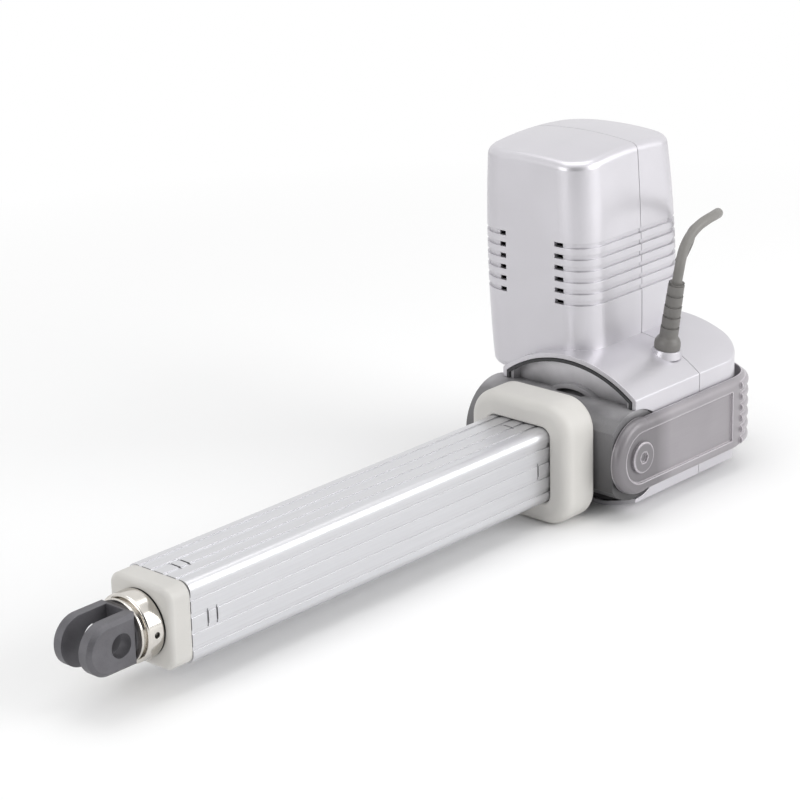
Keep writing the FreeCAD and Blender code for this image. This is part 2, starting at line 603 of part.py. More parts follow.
def collar():
    """The square collar round the tube."""
    body = doc.addObject("PartDesign::Body", "Collar")
    pad(body, rounded_square(body, "{collar_width}", "{collar_corner}", "{collar_start}"), "{collar_length}")
    hole = rounded_square(body, "{tube_width} + 2 * {running_gap} + 0.3", "{tube_corner} + {running_gap} + 0.15", "{collar_start} - 1")
    pocket(body, hole, "{collar_length} + 2")
    front = size("collar_start") + size("collar_length")
    inner = size("tube_width") / 2 + 1
    outer_edge = lambda e: on_plane(e, "x", front) and distance_from_axis(e) > inner
    soft_edge(body, "{collar_edge}", outer_edge)
    rear = size("collar_start")
    rear_edge = lambda e: on_plane(e, "x", rear) and distance_from_axis(e) > inner
    soft_edge(body, "{collar_back_edge}", rear_edge)
    inner_edge = lambda e: on_plane(e, "x", front) and distance_from_axis(e) < inner
    soft_edge(body, "1.6", inner_edge)
    holes = [drum("CollarHole", "x", "2.15", "{collar_start} - 1", "{collar_start} + 15", (y, z)) for y, z in collar_screw_places()]
    keep(cut("CollarDrilled", body, *holes), "collar")
    screws = []
    for y, z in collar_screw_places():
        shank = drum("CollarScrewShank", "x", "2", "{pivot_x} - 22", "{collar_start} + 14", (y, z))
        head = drum("CollarScrewHead", "x", "3.6", "{pivot_x} - 25.1", "{pivot_x} - 21.1", (y, z))
        screws.append(joined("CollarScrew", shank, head))
    keep(joined("CollarScrews", *screws), "collar_screws")


# Tube and rod


def outer_tube():
    """The drawn tube with fine grooves along its four faces and stake marks near both ends."""
    body = doc.addObject("PartDesign::Body", "OuterTube")
    length = "{tube_end} - {tube_start}"
    pad(body, rounded_square(body, "{tube_width}", "{tube_corner}", "{tube_start}"), length)
    pocket(body, rounded_square(body, "{tube_width} - 2 * {tube_wall}", "{tube_corner} - 2", "{tube_start} - 1"), length + " + 2")
    cuts = []
    for step in (-1.5, -0.5, 0.5, 1.5):
        mid = f"{step} * {{groove_pitch}}"
        low = (f"{mid} - {{groove_width}} / 2", "{tube_width} / 2 - {groove_depth}")
        high = (f"{mid} + {{groove_width}} / 2", "{tube_width} / 2 + 1")
        cuts.append(pocket(body, rectangle(body, "YZ_Plane", "{tube_start} - 1", low, high), length + " + 2"))
    for place in ("{tube_end} - 11", "{tube_end} - 11 - {stake_pitch}", "{collar_start} + {collar_length} + 8"):
        low = ("-{stake_length} / 2", "{tube_width} / 2 - 0.8")
        high = ("{stake_length} / 2", "{tube_width} / 2 + 1")
        cuts.append(pocket(body, rectangle(body, "YZ_Plane", place, low, high), "1.1"))
    four_times(body, *cuts)
    keep(body, "outer_tube")


def end_cap():
    """The plastic cap in the front of the tube."""
    body = doc.addObject("PartDesign::Body", "EndCap")
    pad(body, rounded_square(body, "{tube_width} - 0.6", "{tube_corner} + 1.2", "{tube_end} + {fit_gap}"), "{cap_length} - {fit_gap}")
    front = size("tube_end") + size("cap_length")
    soft_edge(body, "{cap_edge}", lambda e: on_plane(e, "x", front))
    pad(body, rounded_square(body, "{tube_width} - 2 * {tube_wall} - 0.4", "{tube_corner} - 2", "{tube_end} - {cap_plug}"), "{cap_plug} + 1")
    bore = drum("CapBore", "x", "{rod_radius} + 2", "{tube_end} - {cap_plug} - 1", "{tube_end} + {cap_length} + 1")
    keep(cut("EndCapBored", body, bore), "end_cap")
    inside = "{rod_radius} + {running_gap} + 0.02"
    start = "{tube_end} - {cap_plug} + 1"
    keep(ring("GuideBush", "x", "{rod_radius} + 1.95", inside, start, "{tube_end} + {cap_length} - 5"), "guide_bush")
    seal = "{tube_end} + {cap_length} - 4.8"
    keep(ring("WiperSeal", "x", "{rod_radius} + 1.95", "{rod_radius} + 0.1", seal, "{tube_end} + {cap_length} - 0.6"), "wiper_seal")


def rod_end():
    """The piston tube with its bright ring, its fork and the drive nut."""
    ring_start = "{tube_end} + {cap_length} + 0.5"
    ring_end = ring_start + " + {ring_length}"
    tube_front = ring_start + " + 4"
    inner = "{rod_radius} - {rod_wall}"
    nut_end = "{nut_start} + {nut_length}"
    keep(ring("PistonTube", "x", "{rod_radius}", inner, nut_end, tube_front), "piston_tube")
    bright = drum("RingBody", "x", "{ring_radius}", ring_start, ring_end)
    bright = rounded("RingSoft", bright, 1.2, lambda e: e.BoundBox.YLength > 2 * size("ring_radius") - 1)
    groove = drum("RingGroove", "x", "{rod_radius} - 0.5", ring_end + " - 1", ring_end + " + 2")
    lip = drum("RingLip", "x", "{rod_radius} + 0.8", ring_end + " + 1.6", ring_end + " + 3")
    lip = rounded("RingLipSoft", lip, 0.4, lambda e: e.BoundBox.YLength > 2 * size("rod_radius") - 1)
    wide = drum("RingWide", "x", "{rod_radius} + {running_gap}", ring_start + " - 1", tube_front + " + 0.2")
    narrow = drum("RingNarrow", "x", "{rod_radius} - 1.95", ring_start, ring_end + " + 5")
    hole = drum("RingHole", "y", "1.6", "0", "30", (ring_start + " + 5", "0"))
    keep(cut("RodRing", joined("RingWhole", bright, groove, lip), wide, narrow, hole), "rod_ring")
    shank = drum("ForkShank", "x", f"{inner} - {{running_gap}}", tube_front + " - 12", tube_front + " + 0.2")
    neck = drum("ForkNeck", "x", "{rod_radius} - 2", tube_front + " + 0.1", ring_end + " + 4")
    body = fork_ears("RodFork", "{rod_hole_x}", ring_end + " + 3.05", "{rod_hole_x} + {fork_nose} + {fork_half}", 1)
    keep(joined("RodForkWhole", shank, neck, body), "rod_fork")
    width = "{tube_width} - 2 * {tube_wall} - 2 * {fit_gap}"
    nut = doc.addObject("PartDesign::Body", "DriveNut")
    pad(nut, rounded_square(nut, width, "{tube_corner} - 1", "{nut_start}"), "{nut_length} - {fit_gap}")
    spigot = drum("NutSpigot", "x", f"{inner} - {{running_gap}}", "{nut_start} + 1", nut_end + " + {nut_spigot}")
    thread = drum("NutThread", "x", "{spindle_radius} + {running_gap}", "{nut_start} - 1", nut_end + " + {nut_spigot} + 1")
    keep(cut("DriveNutBored", joined("DriveNutBody", nut, spigot), thread), "drive_nut")


def fork_ears(name, hole, base, nose, way):
    """Two ears with a pin bore, on a square block; way is 1 to the front and -1 to the rear."""
    half, bevel = "{fork_half}", "{fork_bevel}"
    low, high = (base, nose) if way == 1 else (nose, base)
    bar = block(name + "Bar", (low, high), (f"-{half}", half), (f"-{half}", half))
    centre = f"({nose}) - {way} * {half}"
    around = drum(name + "Round", "y", half, f"-{half}", half, (centre, "0"))
    ahead = (f"{centre}", f"{nose} + 1") if way == 1 else (f"{nose} - 1", f"{centre}")
    corner = cut(name + "Corner", block(name + "Ahead", ahead, ("-20", "20"), ("-20", "20")), around)
    body = cut(name + "Nosed", bar, corner)
    tip = lambda e: on_plane(e, "y", size("fork_half")) or on_plane(e, "y", -size("fork_half"))
    doc.recompute()
    soft = doc.addObject("Part::Chamfer", name + "Bevel")
    soft.Base = body
    soft.Edges = [(n, size("fork_bevel"), size("fork_bevel")) for n in edges_where(body.Shape, tip)]
    slot_end = f"{base} + {way} * 1.5"
    span = (slot_end, f"{nose} + 1") if way == 1 else (f"{nose} - 1", slot_end)
    slot = block(name + "Slot", span, ("-{fork_slot} / 2", "{fork_slot} / 2"), ("-20", "20"))
    bore = drum(name + "Bore", "y", "{pin_radius}", "-20", "20", (hole, "0"))
    return cut(name, soft, slot, bore)


def rear_fork():
    """The rear fork, whose shank passes through the shell to the gear frame."""
    body = fork_ears("RearForkEars", "0", "{housing_rear} - 8", "-{fork_half}", -1)
    shank = drum("RearShank", "x", "{fork_half} - 1", "{housing_rear} - 8.1", "{housing_rear} + 6")
    flange = drum("RearFlange", "x", "{fork_half} + 4", "{housing_rear} + {shell_wall} + {fit_gap}", "{housing_rear} + 10")
    keep(joined("RearForkWhole", body, shank, flange), "rear_fork")


# Drive


def spindle_group():
    """The spindle, its bearing and the parts that stay on it."""
    start = "{housing_rear} + 14"
    journal_end = start + " + {bearing_width} + 2"
    washer = "{collar_start} + 4"
    pieces = [
        drum("SpindleJournal", "x", "{journal_radius}", start, journal_end),
        drum("SpindleHub", "x", "{hub_radius}", start + " + {bearing_width}", washer),
        drum("SpindleThread", "x", "{spindle_radius}", washer + " - 1", "{spindle_end}"),
    ]
    keep(joined("Spindle", *pieces), "spindle")
    end = start + " + {bearing_width}"
    ball = "({bearing_radius} - {journal_radius}) / 4"
    pitch = "({bearing_radius} + {journal_radius}) / 2"
    outer = ring("OuterRace", "x", "{bearing_radius}", f"{{bearing_radius}} - {ball}", start, end)
    inner = ring("InnerRace", "x", f"{{journal_radius}} + {ball}", "{journal_radius} + {running_gap}", start, end)
    balls = []
    for n in range(8):
        turn = f"{n} * 45"
        place = (f"{start} + {{bearing_width}} / 2", f"{pitch} * cos({turn})", f"{pitch} * sin({turn})")
        balls.append(primitive("Part::Sphere", "Ball", {"Radius": f"{ball} - {{running_gap}}"}, place, Rotation()))
    keep(outer, "bearing_outer_race")
    keep(inner, "bearing_inner_race")
    keep(joined("BearingBalls", *balls), "bearing_balls")
    thrust = ring("SpringSeat", "x", "{rod_radius} - 0.5", "{hub_radius} + {running_gap}", washer + " - 3", washer + " - 1.2")
    keep(thrust, "spring_seat")
    stop = ring("EndStop", "x", "{rod_radius} - {rod_wall} - {fit_gap}", "{spindle_radius} + {running_gap}", "{spindle_end} - 4", "{spindle_end} - 0.5")
    keep(stop, "spindle_end_stop")


def wheel_centre():
    """The plane of the worm drive along the spindle, as a formula."""
    return "{motor_front} - {motor_depth} / 2"


def motor_y():
    """The motor's axis across the spindle, as a formula."""
    return "-({worm_radius} + {gear_module} * {wheel_teeth} / 2)"


def worm_wheel():
    """The worm wheel with inclined teeth, its hub and pockets for the clutch's dogs."""
    module, teeth = size("gear_module"), int(size("wheel_teeth"))
    pitch_radius, width = module * teeth / 2, size("wheel_width")
    centre = size("motor_front") - size("motor_depth") / 2
    root, tip = pitch_radius - 1.25 * module, pitch_radius + module
    lead_turn = width * module / size("worm_radius") / 2 / pitch_radius
    spread = math.pi / teeth
    thin = size("mesh_gap") / 2 / pitch_radius
    half_root, half_tip = spread * 0.72 - thin, spread * 0.28 - thin
    sections = []
    for end in (-1, 1):
        points = []
        for n in range(teeth):
            mid = 2 * math.pi * n / teeth + end * lead_turn / 2 + math.pi
            flank = [(-half_root, root), (-half_tip, tip), (half_tip, tip), (half_root, root)]
            points += [Vector(0, r * math.cos(mid + a), r * math.sin(mid + a)) for a, r in flank]
        outline = Part.makePolygon(points + points[:1])
        outline.translate(Vector(centre + end * width / 2, 0, 0))
        sections.append(outline)
    solid = Part.makeLoft(sections, True, True)
    hub = Part.makeCylinder(14, width / 2 + 12, Vector(centre - width / 2 - 9, 0, 0), Vector(1, 0, 0))
    solid = solid.fuse(hub)
    bore = size("hub_radius") + size("running_gap")
    solid = solid.cut(Part.makeCylinder(bore, 60, Vector(centre - 30, 0, 0), Vector(1, 0, 0)))
    face = centre + width / 2
    for n in range(6):
        turn = math.radians(60 * n)
        place = Vector(face - 5.5, 18 * math.cos(turn), 18 * math.sin(turn))
        solid = solid.cut(Part.makeCylinder(3.4, 8, place, Vector(1, 0, 0)))
    feature = doc.addObject("Part::Feature", "WormWheel")
    feature.Shape = solid.removeSplitter()
    keep(feature, "worm_wheel")


def clutch():
    """The clutch sleeve with its dogs and flanges, and the spring behind it."""
    face = wheel_centre() + " + {wheel_width} / 2"
    tube = drum("SleeveTube", "x", "{clutch_radius}", face + " + 5", "{pivot_x} + 6")
    plate = drum("DogPlate", "x", "22.5", face + " + 0.5", face + " + 5.5")
    low = "{pivot_x} - {yoke_pin_radius} - 0.6"
    high = "{pivot_x} + {yoke_pin_radius} + 0.6"
    flanges = [
        drum("SleeveFlangeA", "x", "{clutch_flange}", f"{low} - 2.6", low),
        drum("SleeveFlangeB", "x", "{clutch_flange}", high, f"{high} + 2.6"),
    ]
    dogs = []
    for n in range(6):
        centre = (f"18 * cos({60 * n})", f"18 * sin({60 * n})")
        dogs.append(drum("Dog", "x", "3", face + " - 5", face + " + 1", centre))
    body = joined("SleeveBody", tube, plate, *flanges, *dogs)
    bore = drum("SleeveBore", "x", "{hub_radius} + {running_gap}", face + " - 10", "{pivot_x} + 20")
    keep(cut("ClutchSleeve", body, bore), "clutch_sleeve")
    start, end = size("pivot_x") + 13.7, size("collar_start") + 0.1
    turns, wire = 3, 0.7
    helix = Part.makeHelix((end - start) / turns, end - start, 11)
    helix.rotate(Vector(), Vector(0, 1, 0), 90)
    helix.translate(Vector(start, 0, 0))
    first = helix.Vertexes[0].Point
    circle = Part.Wire([Part.makeCircle(wire, first, Vector(0, 1, 0))])
    spring = Part.Wire(helix).makePipeShell([circle], True, True)
    feature = doc.addObject("Part::Feature", "ClutchSpring")
    feature.Shape = spring
    keep(feature, "clutch_spring")


def worm_and_motor():
    """The motor: can, magnets, armature, commutator, brushes, end bell and worm."""
    x, y = wheel_centre(), motor_y()
    at = (x, y)
    base, top = "{frame_top} + 0.1", "{frame_top} + {can_height}"
    can = ring("CanWall", "z", "{can_radius}", "{can_radius} - {can_wall}", base, top, at)
    foot = ring("CanFoot", "z", "{can_radius} - 1", "9", base, f"{base} + {{can_wall}}", at)
    keep(joined("MotorCan", can, foot), "motor_can")
    outer, inner = "{can_radius} - {can_wall} - {running_gap}", "{can_radius} - {can_wall} - 4"
    magnet_low, magnet_high = f"{base} + 14", f"{base} + 64"
    tube = ring("MagnetTube", "z", outer, inner, magnet_low, magnet_high, at)
    for side, name in ((1, "Near"), (-1, "Far")):
        gap = (f"{y} + 8", f"{y} + 40") if side == 1 else (f"{y} - 40", f"{y} - 8")
        keeper = block("MagnetSide" + name, (f"{x} - 40", f"{x} + 40"), gap, (magnet_low, magnet_high))
        keep(common("Magnet" + name, tube, keeper), f"magnet_{name.lower()}")
    shaft_low, shaft_high = "-{floor_depth} + {shell_wall} + 6", f"{top} + 5"
    shaft = drum("MotorShaft", "z", "{shaft_radius}", shaft_low, shaft_high, at)
    keep(shaft, "motor_shaft")
    bore = "{shaft_radius} + 0.01"
    core = ring("ArmatureCore", "z", f"{inner} - 1", bore, f"{base} + 17", f"{base} + 61", at)
    slots = []
    for n in range(8):
        spot = (f"{x} + ({inner} - 2.5) * cos({45 * n})", f"{y} + ({inner} - 2.5) * sin({45 * n})")
        slots.append(drum("ArmatureSlot", "z", "2.6", f"{base} + 10", f"{base} + 70", spot))
    keep(cut("Armature", core, *slots), "armature_core")
    ends = [
        ring("WindingLow", "z", f"{inner} - 7", bore, f"{base} + 9", f"{base} + 16.9", at),
        ring("WindingHigh", "z", f"{inner} - 7", bore, f"{base} + 61.1", f"{base} + 69", at),
    ]
    keep(joined("Windings", *ends), "armature_windings")
    keep(ring("Commutator", "z", "9", bore, f"{base} + 69.5", f"{base} + 82", at), "commutator")
    brushes = []
    for side in (1, -1):
        low, high = (f"{x} + 9.3", f"{x} + 19") if side == 1 else (f"{x} - 19", f"{x} - 9.3")
        brushes.append(block("Brush", (low, high), (f"{y} - 2.5", f"{y} + 2.5"), (f"{base} + 73", f"{base} + 79")))
    keep(joined("Brushes", *brushes), "brushes")
    disc = ring("HolderDisc", "z", "{can_radius} - {can_wall} - 0.2", "10.5", f"{base} + 79.1", f"{base} + 83", at)
    keep(disc, "brush_holder")
    bell = ring("BellDisc", "z", "{can_radius}", "{shaft_radius} + 3.6", f"{top} + 0.1", f"{top} + 3", at)
    cup = ring("BellCup", "z", "8.5", "{shaft_radius} + 3.6", f"{top} - 4", f"{top} + 6", at)
    keep(joined("EndBell", bell, cup), "motor_end_bell")
    bush = "{shaft_radius} + {running_gap}"
    keep(ring("UpperBush", "z", "{shaft_radius} + 3.5", bush, f"{top} - 3", f"{top} + 4", at), "motor_upper_bush")
    keep(ring("LowerBush", "z", "{shaft_radius} + 3.5", bush, "-{floor_depth} + {shell_wall} + 5.8", "-20", at), "motor_lower_bush")
    keep(ring("MiddleBush", "z", "{shaft_radius} + 3.5", bush, "{frame_top} - 5", "{frame_top} + 0.05", at), "motor_middle_bush")
    worm(x, y)
    board_low = f"{top} + 9"
    board = block("Board", (f"{x} - 27", f"{x} + 27"), (f"{y} - 20", f"{y} + 20"), (board_low, f"{board_low} + 1.6"))
    posts = [drum("BoardPost", "z", "2.5", f"{top} + 3", board_low, (f"{x} + {sx}", f"{y} + {sy}")) for sx in (-17, 17) for sy in (-17, 17)]
    keep(joined("BoardPosts", *posts), "board_posts")
    chips = []
    for n, (dx, dy, high) in enumerate([(-18, -8, 5), (-6, 6, 3), (8, -9, 4), (18, 8, 6)]):
        low_x, low_y = f"{x} + {dx - 5}", f"{y} + {dy - 4}"
        chips.append(block("Chip", (low_x, f"{low_x} + 10"), (low_y, f"{low_y} + 8"), (f"{board_low} + 1.5", f"{board_low} + {high / 2 + 1.6}")))
    keep(joined("ControlBoard", board, *chips), "control_board")


def worm(x, y):
    """The worm's thread, a right-hand helix round its core, on the motor shaft."""
    module, radius = size("gear_module"), size("worm_radius")
    lead = math.pi * module
    length = lead * size("worm_turns")
    centre_x = size("motor_front") - size("motor_depth") / 2
    centre_y = -(radius + module * size("wheel_teeth") / 2)
    core_radius = radius - 1.25 * module
    core = Part.makeCylinder(core_radius, length + 4, Vector(0, 0, -length / 2 - 2))
    helix = Part.makeHelix(lead, length, core_radius)
    helix.translate(Vector(0, 0, -length / 2))
    depth = 2.25 * module
    half_root, half_tip = lead * 0.36 - size("mesh_gap") / 4, lead * 0.14 - size("mesh_gap") / 4
    corners = [
        Vector(core_radius - 0.3, 0, -half_root), Vector(core_radius + depth - 0.15, 0, -half_tip),
        Vector(core_radius + depth - 0.15, 0, half_tip), Vector(core_radius - 0.3, 0, half_root),
    ]
    profile = Part.makePolygon(corners + corners[:1])
    profile.translate(Vector(0, 0, -length / 2))
    thread = Part.Wire(helix).makePipeShell([profile], True, True)
    solid = core.fuse(thread)
    solid = solid.cut(Part.makeCylinder(size("shaft_radius") + 0.01, length + 10, Vector(0, 0, -length / 2 - 5)))
    solid.translate(Vector(centre_x, centre_y, 0))
    feature = doc.addObject("Part::Feature", "Worm")
    feature.Shape = solid
    keep(feature, "worm")


def gear_frame():
    """The cast frame that carries the bearing, the rear fork, the motor and the front cover."""
    x, y = wheel_centre(), motor_y()
    low = "-{floor_depth} + {shell_wall} + 5.2"
    half = "{frame_half}"
    rear, front = "{housing_rear} + 10", "{pivot_x} - 21"
    top = "{frame_top}"
    rear_plate = block("FrameRear", (rear, f"{rear} + 12"), (f"-{half}", half), (low, top))
    front_plate = block("FrameFront", (front, f"{front} + 8"), (f"-{half}", half), (low, top))
    bottom = block("FrameBottom", (rear, f"{front} + 1"), (f"-{half} - 8", half), (low, f"{low} + 3"))
    deck = block("FrameDeck", (rear, f"{front} + 8"), (f"{y} - 26", "24"), (f"{top} - 5", top))
    cup = drum("FrameCup", "z", "{shaft_radius} + 6", low, "-20", (x, y))
    body = joined("FrameBody", rear_plate, front_plate, bottom, deck, cup)
    seat = drum("BearingSeat", "x", "{bearing_radius} + 0.01", "{housing_rear} + 14", f"{rear} + 20")
    back = drum("SeatBack", "x", "{journal_radius} + 3", "0", f"{rear} + 20")
    pass_hole = drum("SleevePass", "x", "{clutch_radius} + 1", f"{front} - 5", f"{front} + 20")
    shaft_hole = drum("ShaftPass", "z", "{shaft_radius} + 3.55", f"{low} + 0.5", f"{top} + 5", (x, y))
    screw_holes = [drum("FrameScrewHole", "x", "2.3", f"{front} - 5", f"{front} + 20", (sy, sz)) for sy, sz in collar_screw_places()]
    reach = "{gear_module} * {wheel_teeth} / 2 + 2.5"
    wheel_way = drum("WheelWay", "x", reach, f"{x} - {{wheel_width}} / 2 - 1.5", f"{x} + {{wheel_width}} / 2 + 1.5")
    keep(cut("GearFrame", body, seat, back, pass_hole, shaft_hole, wheel_way, *screw_holes), "gear_frame")
    screws = []
    for sx in (-20, 20):
        for sy in (-16, 16):
            spot = (f"{x} + {sx}", f"{y} + {sy}")
            screws.append(drum("MotorScrew", "z", "1.9", f"{top} + 0.1 + {{can_wall}}", f"{top} + {{can_wall}} + 3.5", spot))
    keep(joined("MotorScrews", *screws), "motor_screws")


# Release


def release_yoke():
    """The yoke on the lever's pivot, whose pins move the clutch sleeve."""
    inner, outer = "{clutch_flange} + 0.7", "{clutch_flange} + 4.2"
    stub = "{stub_radius}"
    pivot = ("{pivot_x}", "0")
    low, high = f"{{pivot_x}} - {stub}", f"{{pivot_x}} + {stub}"
    back = "{pivot_x} - 0.2"
    arch = cut("YokeArch", ring("YokeRing", "x", outer, inner, low, back), block("YokeBelow", (low, back), ("-30", "30"), ("-30", "0")))
    near = drum("NearStub", "y", stub, inner, "({housing_half} - {barrel_inset}) + {lever_thick} - 2", pivot)
    far = drum("FarStub", "y", stub, "3.4 - {barrel_far}", f"-({inner})", pivot)
    pieces = [arch, near, far]
    for side, name in ((1, "Near"), (-1, "Far")):
        tip = ("8", "{clutch_flange}") if side == 1 else ("-{clutch_flange}", "-8")
        pieces.append(drum("YokePin" + name, "y", "{yoke_pin_radius}", *tip, ("{pivot_x}", "{yoke_pin_height}")))
    keep(joined("ReleaseYoke", *pieces), "release_yoke")


def release_lever():
    """The lever: a round end, an arm with a sunk panel, and a ribbed grip round the rear corner."""
    low = "({housing_half} - {barrel_inset}) + {lever_gap}"
    high = f"{low} + {{lever_thick}}"
    half = "{lever_half}"
    face = size("housing_half") - size("barrel_inset") + size("lever_gap") + size("lever_thick")
    edge = size("lever_edge")
    turn_y = f"{high} - {{lever_bend}}"
    inside = "{housing_half} + {lever_gap}"
    arm = block("LeverArm", ("{lever_turn_x}", "{pivot_x}"), (inside, high), (f"-{half}", half))
    arm = rounded("LeverArmSoft", arm, edge, lambda e: runs_along(e, "x") and middle(e).y > face - 0.1)
    hub = drum("LeverHub", "y", "{lever_boss}", low, high, ("{pivot_x}", "0"))
    hub = rounded("LeverHubSoft", hub, edge, lambda e: on_plane(e, "y", face))
    centre = ("{lever_turn_x}", turn_y)
    bend = drum("LeverBend", "z", "{lever_bend}", f"-{half}", half, centre)
    bend = rounded("LeverBendSoft", bend, edge, lambda e: e.BoundBox.ZLength < 0.1)
    corner = block("LeverCorner", ("0", "{lever_turn_x} + 0.01"), ("{grip_end}", f"{high} + 5"), ("-30", "30"))
    room_x = "{lever_turn_x} - 3.8"
    room = drum("LeverRoom", "z", "{lever_inner}", "-30", "30", (room_x, f"{inside} - {{lever_inner}}"))
    flat_room = block("LeverFlatRoom", (room_x, "{lever_turn_x} + 1"), ("0", inside), ("-30", "30"))
    ribs = []
    for n in range(6):
        place = (*centre, f"({n} - 2.5) * {{rib_pitch}}")
        sizes = {"Radius1": "{lever_bend} - 0.6", "Radius2": "{rib_radius}"}
        ribs.append(primitive("Part::Torus", "GripRib", sizes, place, Rotation()))
    ribs = common("GripRibs", joined("GripTori", *ribs), block("RibSpace", ("0", "{lever_turn_x} - 6"), ("{grip_end}", f"{high} + 5"), ("-30", "30")),
                  drum("RibLimit", "z", "{lever_bend} + 5", "-30", "30", centre))
    grip = cut("LeverGrip", joined("LeverGripWhole", common("LeverGripForm", bend, corner), ribs), room, flat_room)
    body = joined("LeverBody", arm, hub, grip)
    sunk = block("LeverSunk", ("{lever_turn_x} + 2", "{pivot_x}"), (f"{high} - {{panel_depth}}", f"{high} + 1"), ("-{lever_panel}", "{lever_panel}"))
    round_end = drum("LeverSunkRound", "y", "{lever_panel}", f"{high} - {{panel_depth}}", f"{high} + 1", ("{pivot_x}", "0"))
    bore = drum("LeverBore", "y", "{stub_radius} + {running_gap}", f"{low} - 5", f"{high} - 1.9", ("{pivot_x}", "0"))
    screw_way = drum("LeverScrewWay", "y", "2.2", low, f"{high} + 5", ("{pivot_x}", "0"))
    keep(cut("ReleaseLever", body, sunk, round_end, bore, screw_way), "release_lever")
    seat = f"{high} - {{panel_depth}}"
    head = drum("LeverScrewHead", "y", "{cap_screw_radius}", seat, f"{seat} + 2", ("{pivot_x}", "0"))
    head = rounded("LeverScrewSoft", head, 0.8, lambda e: on_plane(e, "y", (size("housing_half") - size("barrel_inset")) + size("lever_gap") + size("lever_thick") - size("panel_depth") + 2))
    hexagon = doc.addObject("Part::Prism", "LeverScrewHex")
    hexagon.Polygon = 6
    hexagon.Placement = Placement(Vector(), ALONG["y"])
    for path, text in {"Circumradius": "3.2", "Height": "3", ".Placement.Base.x": "{pivot_x}", ".Placement.Base.y": f"{seat} + 0.8"}.items():
        bind(hexagon, path, text)
    shank = drum("LeverScrewShank", "y", "2", "({housing_half} - {barrel_inset}) + {lever_thick} - 1.9", f"{seat} + 0.5", ("{pivot_x}", "0"))
    keep(joined("LeverScrew", cut("LeverScrewTop", head, hexagon), shank), "lever_screw")


# Cable


def on_gland(along):
    """A point on the gland's axis, a distance from its foot."""
    angle = math.radians(size("gland_tilt"))
    foot = Vector(size("gland_x"), size("gland_y"), size("gland_base"))
    return foot + Vector(0, math.sin(angle), math.cos(angle)) * along


def cable_gland():
    """The stepped rubber strain relief, leaning with the arch it stands on."""
    hole = size("cable_radius") + 0.02
    profile = [(5.9, -4), (5.9, 4.45), (7.1, 4.45), (7.3, 6.5), (7.1, 8.2), (6.3, 10), (5.3, 11.2), (5.1, 11.8)]
    for n in range(5):
        start = 12 + 6.2 * n
        thick, thin = 5.1 - 0.15 * n, 4.3 - 0.12 * n
        profile += [(thick, start + 4.9), (thin, start + 4.9), (thin, start + 6.2), (thick - 0.15, start + 6.2)]
    profile.append((4.3, size("gland_length")))
    points = [Vector(r, 0, z) for r, z in profile]
    points += [Vector(hole, 0, size("gland_length")), Vector(hole, 0, -4)]
    face = Part.Face(Part.makePolygon(points + points[:1]))
    feature = doc.addObject("Part::Feature", "CableGland")
    feature.Shape = face.revolve(Vector(), Vector(0, 0, 1), 360)
    tilted(feature)
    keep(feature, "cable_gland")


CABLE_FREE = [
    (74.5, 36.2, 90.8), (71.1, 37.9, 100.1), (64.5, 38.4, 107.8), (55.6, 37.2, 112.6), (45.5, 34, 114.2),
    (32.8, 26.9, 111.1), (22.3, 11.2, 99.3), (20, 0.6, 90.5), (15.9, -8.2, 80.3), (12, -22, 63), (8, -31, 45),
    (2, -37, 25), (-6, -42, 5), (-13, -49, -13), (-16.5, -62, -21.5), (-18.1, -78, -25.4),
]


def tube_along(points, radius):
    """A round tube along straight runs that tangent arcs join; it gives the solid, arcs and length."""
    edges, radii, here = [], [], points[0]
    for before, corner, after in zip(points, points[1:], points[2:]):
        first, second = corner - before, after - corner
        turn = first.getAngle(second)
        reach = 0.45 * min(first.Length, second.Length)
        bend = reach / math.tan(turn / 2)
        radii.append(bend)
        start = corner - first.normalize() * reach
        end = corner + second.normalize() * reach
        inward = (start + end) * 0.5 - corner
        centre = corner + inward.normalize() * (bend / math.cos(turn / 2))
        mid = centre + (corner - centre).normalize() * bend
        edges.append(Part.LineSegment(here, start).toShape())
        edges.append(Part.Arc(start, mid, end).toShape())
        here = end
    edges.append(Part.LineSegment(here, points[-1]).toShape())
    path = Part.Wire(edges)
    circle = Part.Wire([Part.makeCircle(radius, points[0], points[1] - points[0])])
    return path.makePipeShell([circle], True, True), radii, path.Length


def cable():
    """The cable's free stretch from the gland to the coil, the coil, and the plug with its tie."""
    radius = size("cable_radius")
    points = [on_gland(size("gland_length"))] + [Vector(*place) for place in CABLE_FREE]
    solid, radii, length = tube_along(points, radius)
    feature = doc.addObject("Part::Feature", "CableTube")
    feature.Shape = solid
    keep(feature, "cable_tube")
    print("cable radii", [round(bend, 1) for bend in radii], "length", round(length, 1))
    print("cable volume against section times length", solid.Volume / (math.pi * radius ** 2 * length))
    at = ("{coil_x}", "{coil_y}")
    low, high = "-{floor_depth}", "4 * {cable_radius} + 0.2 - {floor_depth}"
    coil = ring("CoilRing", "z", "{coil_radius} + 2 * {cable_radius} + 0.1", "{coil_radius} - 2 * {cable_radius} - 0.1", low, high, at)
    coil = rounded("CoilSoft", coil, radius * 0.9, lambda e: e.BoundBox.ZLength < 0.1)
    keep(coil, "cable_coil")
    plug_y = "{coil_y} - {coil_radius} - 2 * {cable_radius} - {plug_radius} - 0.1"
    plug_z = "{plug_radius} - {floor_depth}"
    start = "{coil_x} + 7 - {plug_length}"
    shell = drum("PlugShell", "x", "{plug_radius}", start, start + " + {plug_length} - 9", (plug_y, plug_z))
    nose = drum("PlugNose", "x", "{plug_radius} - 1.6", start + " - 6", start + " + 1", (plug_y, plug_z))
    tail = cone("PlugTail", "x", "{plug_radius} - 1", "{cable_radius} + 1.2", start + " + {plug_length} - 9.1", start + " + {plug_length}", (plug_y, plug_z))
    keep(joined("CablePlug", shell, nose, tail), "cable_plug")


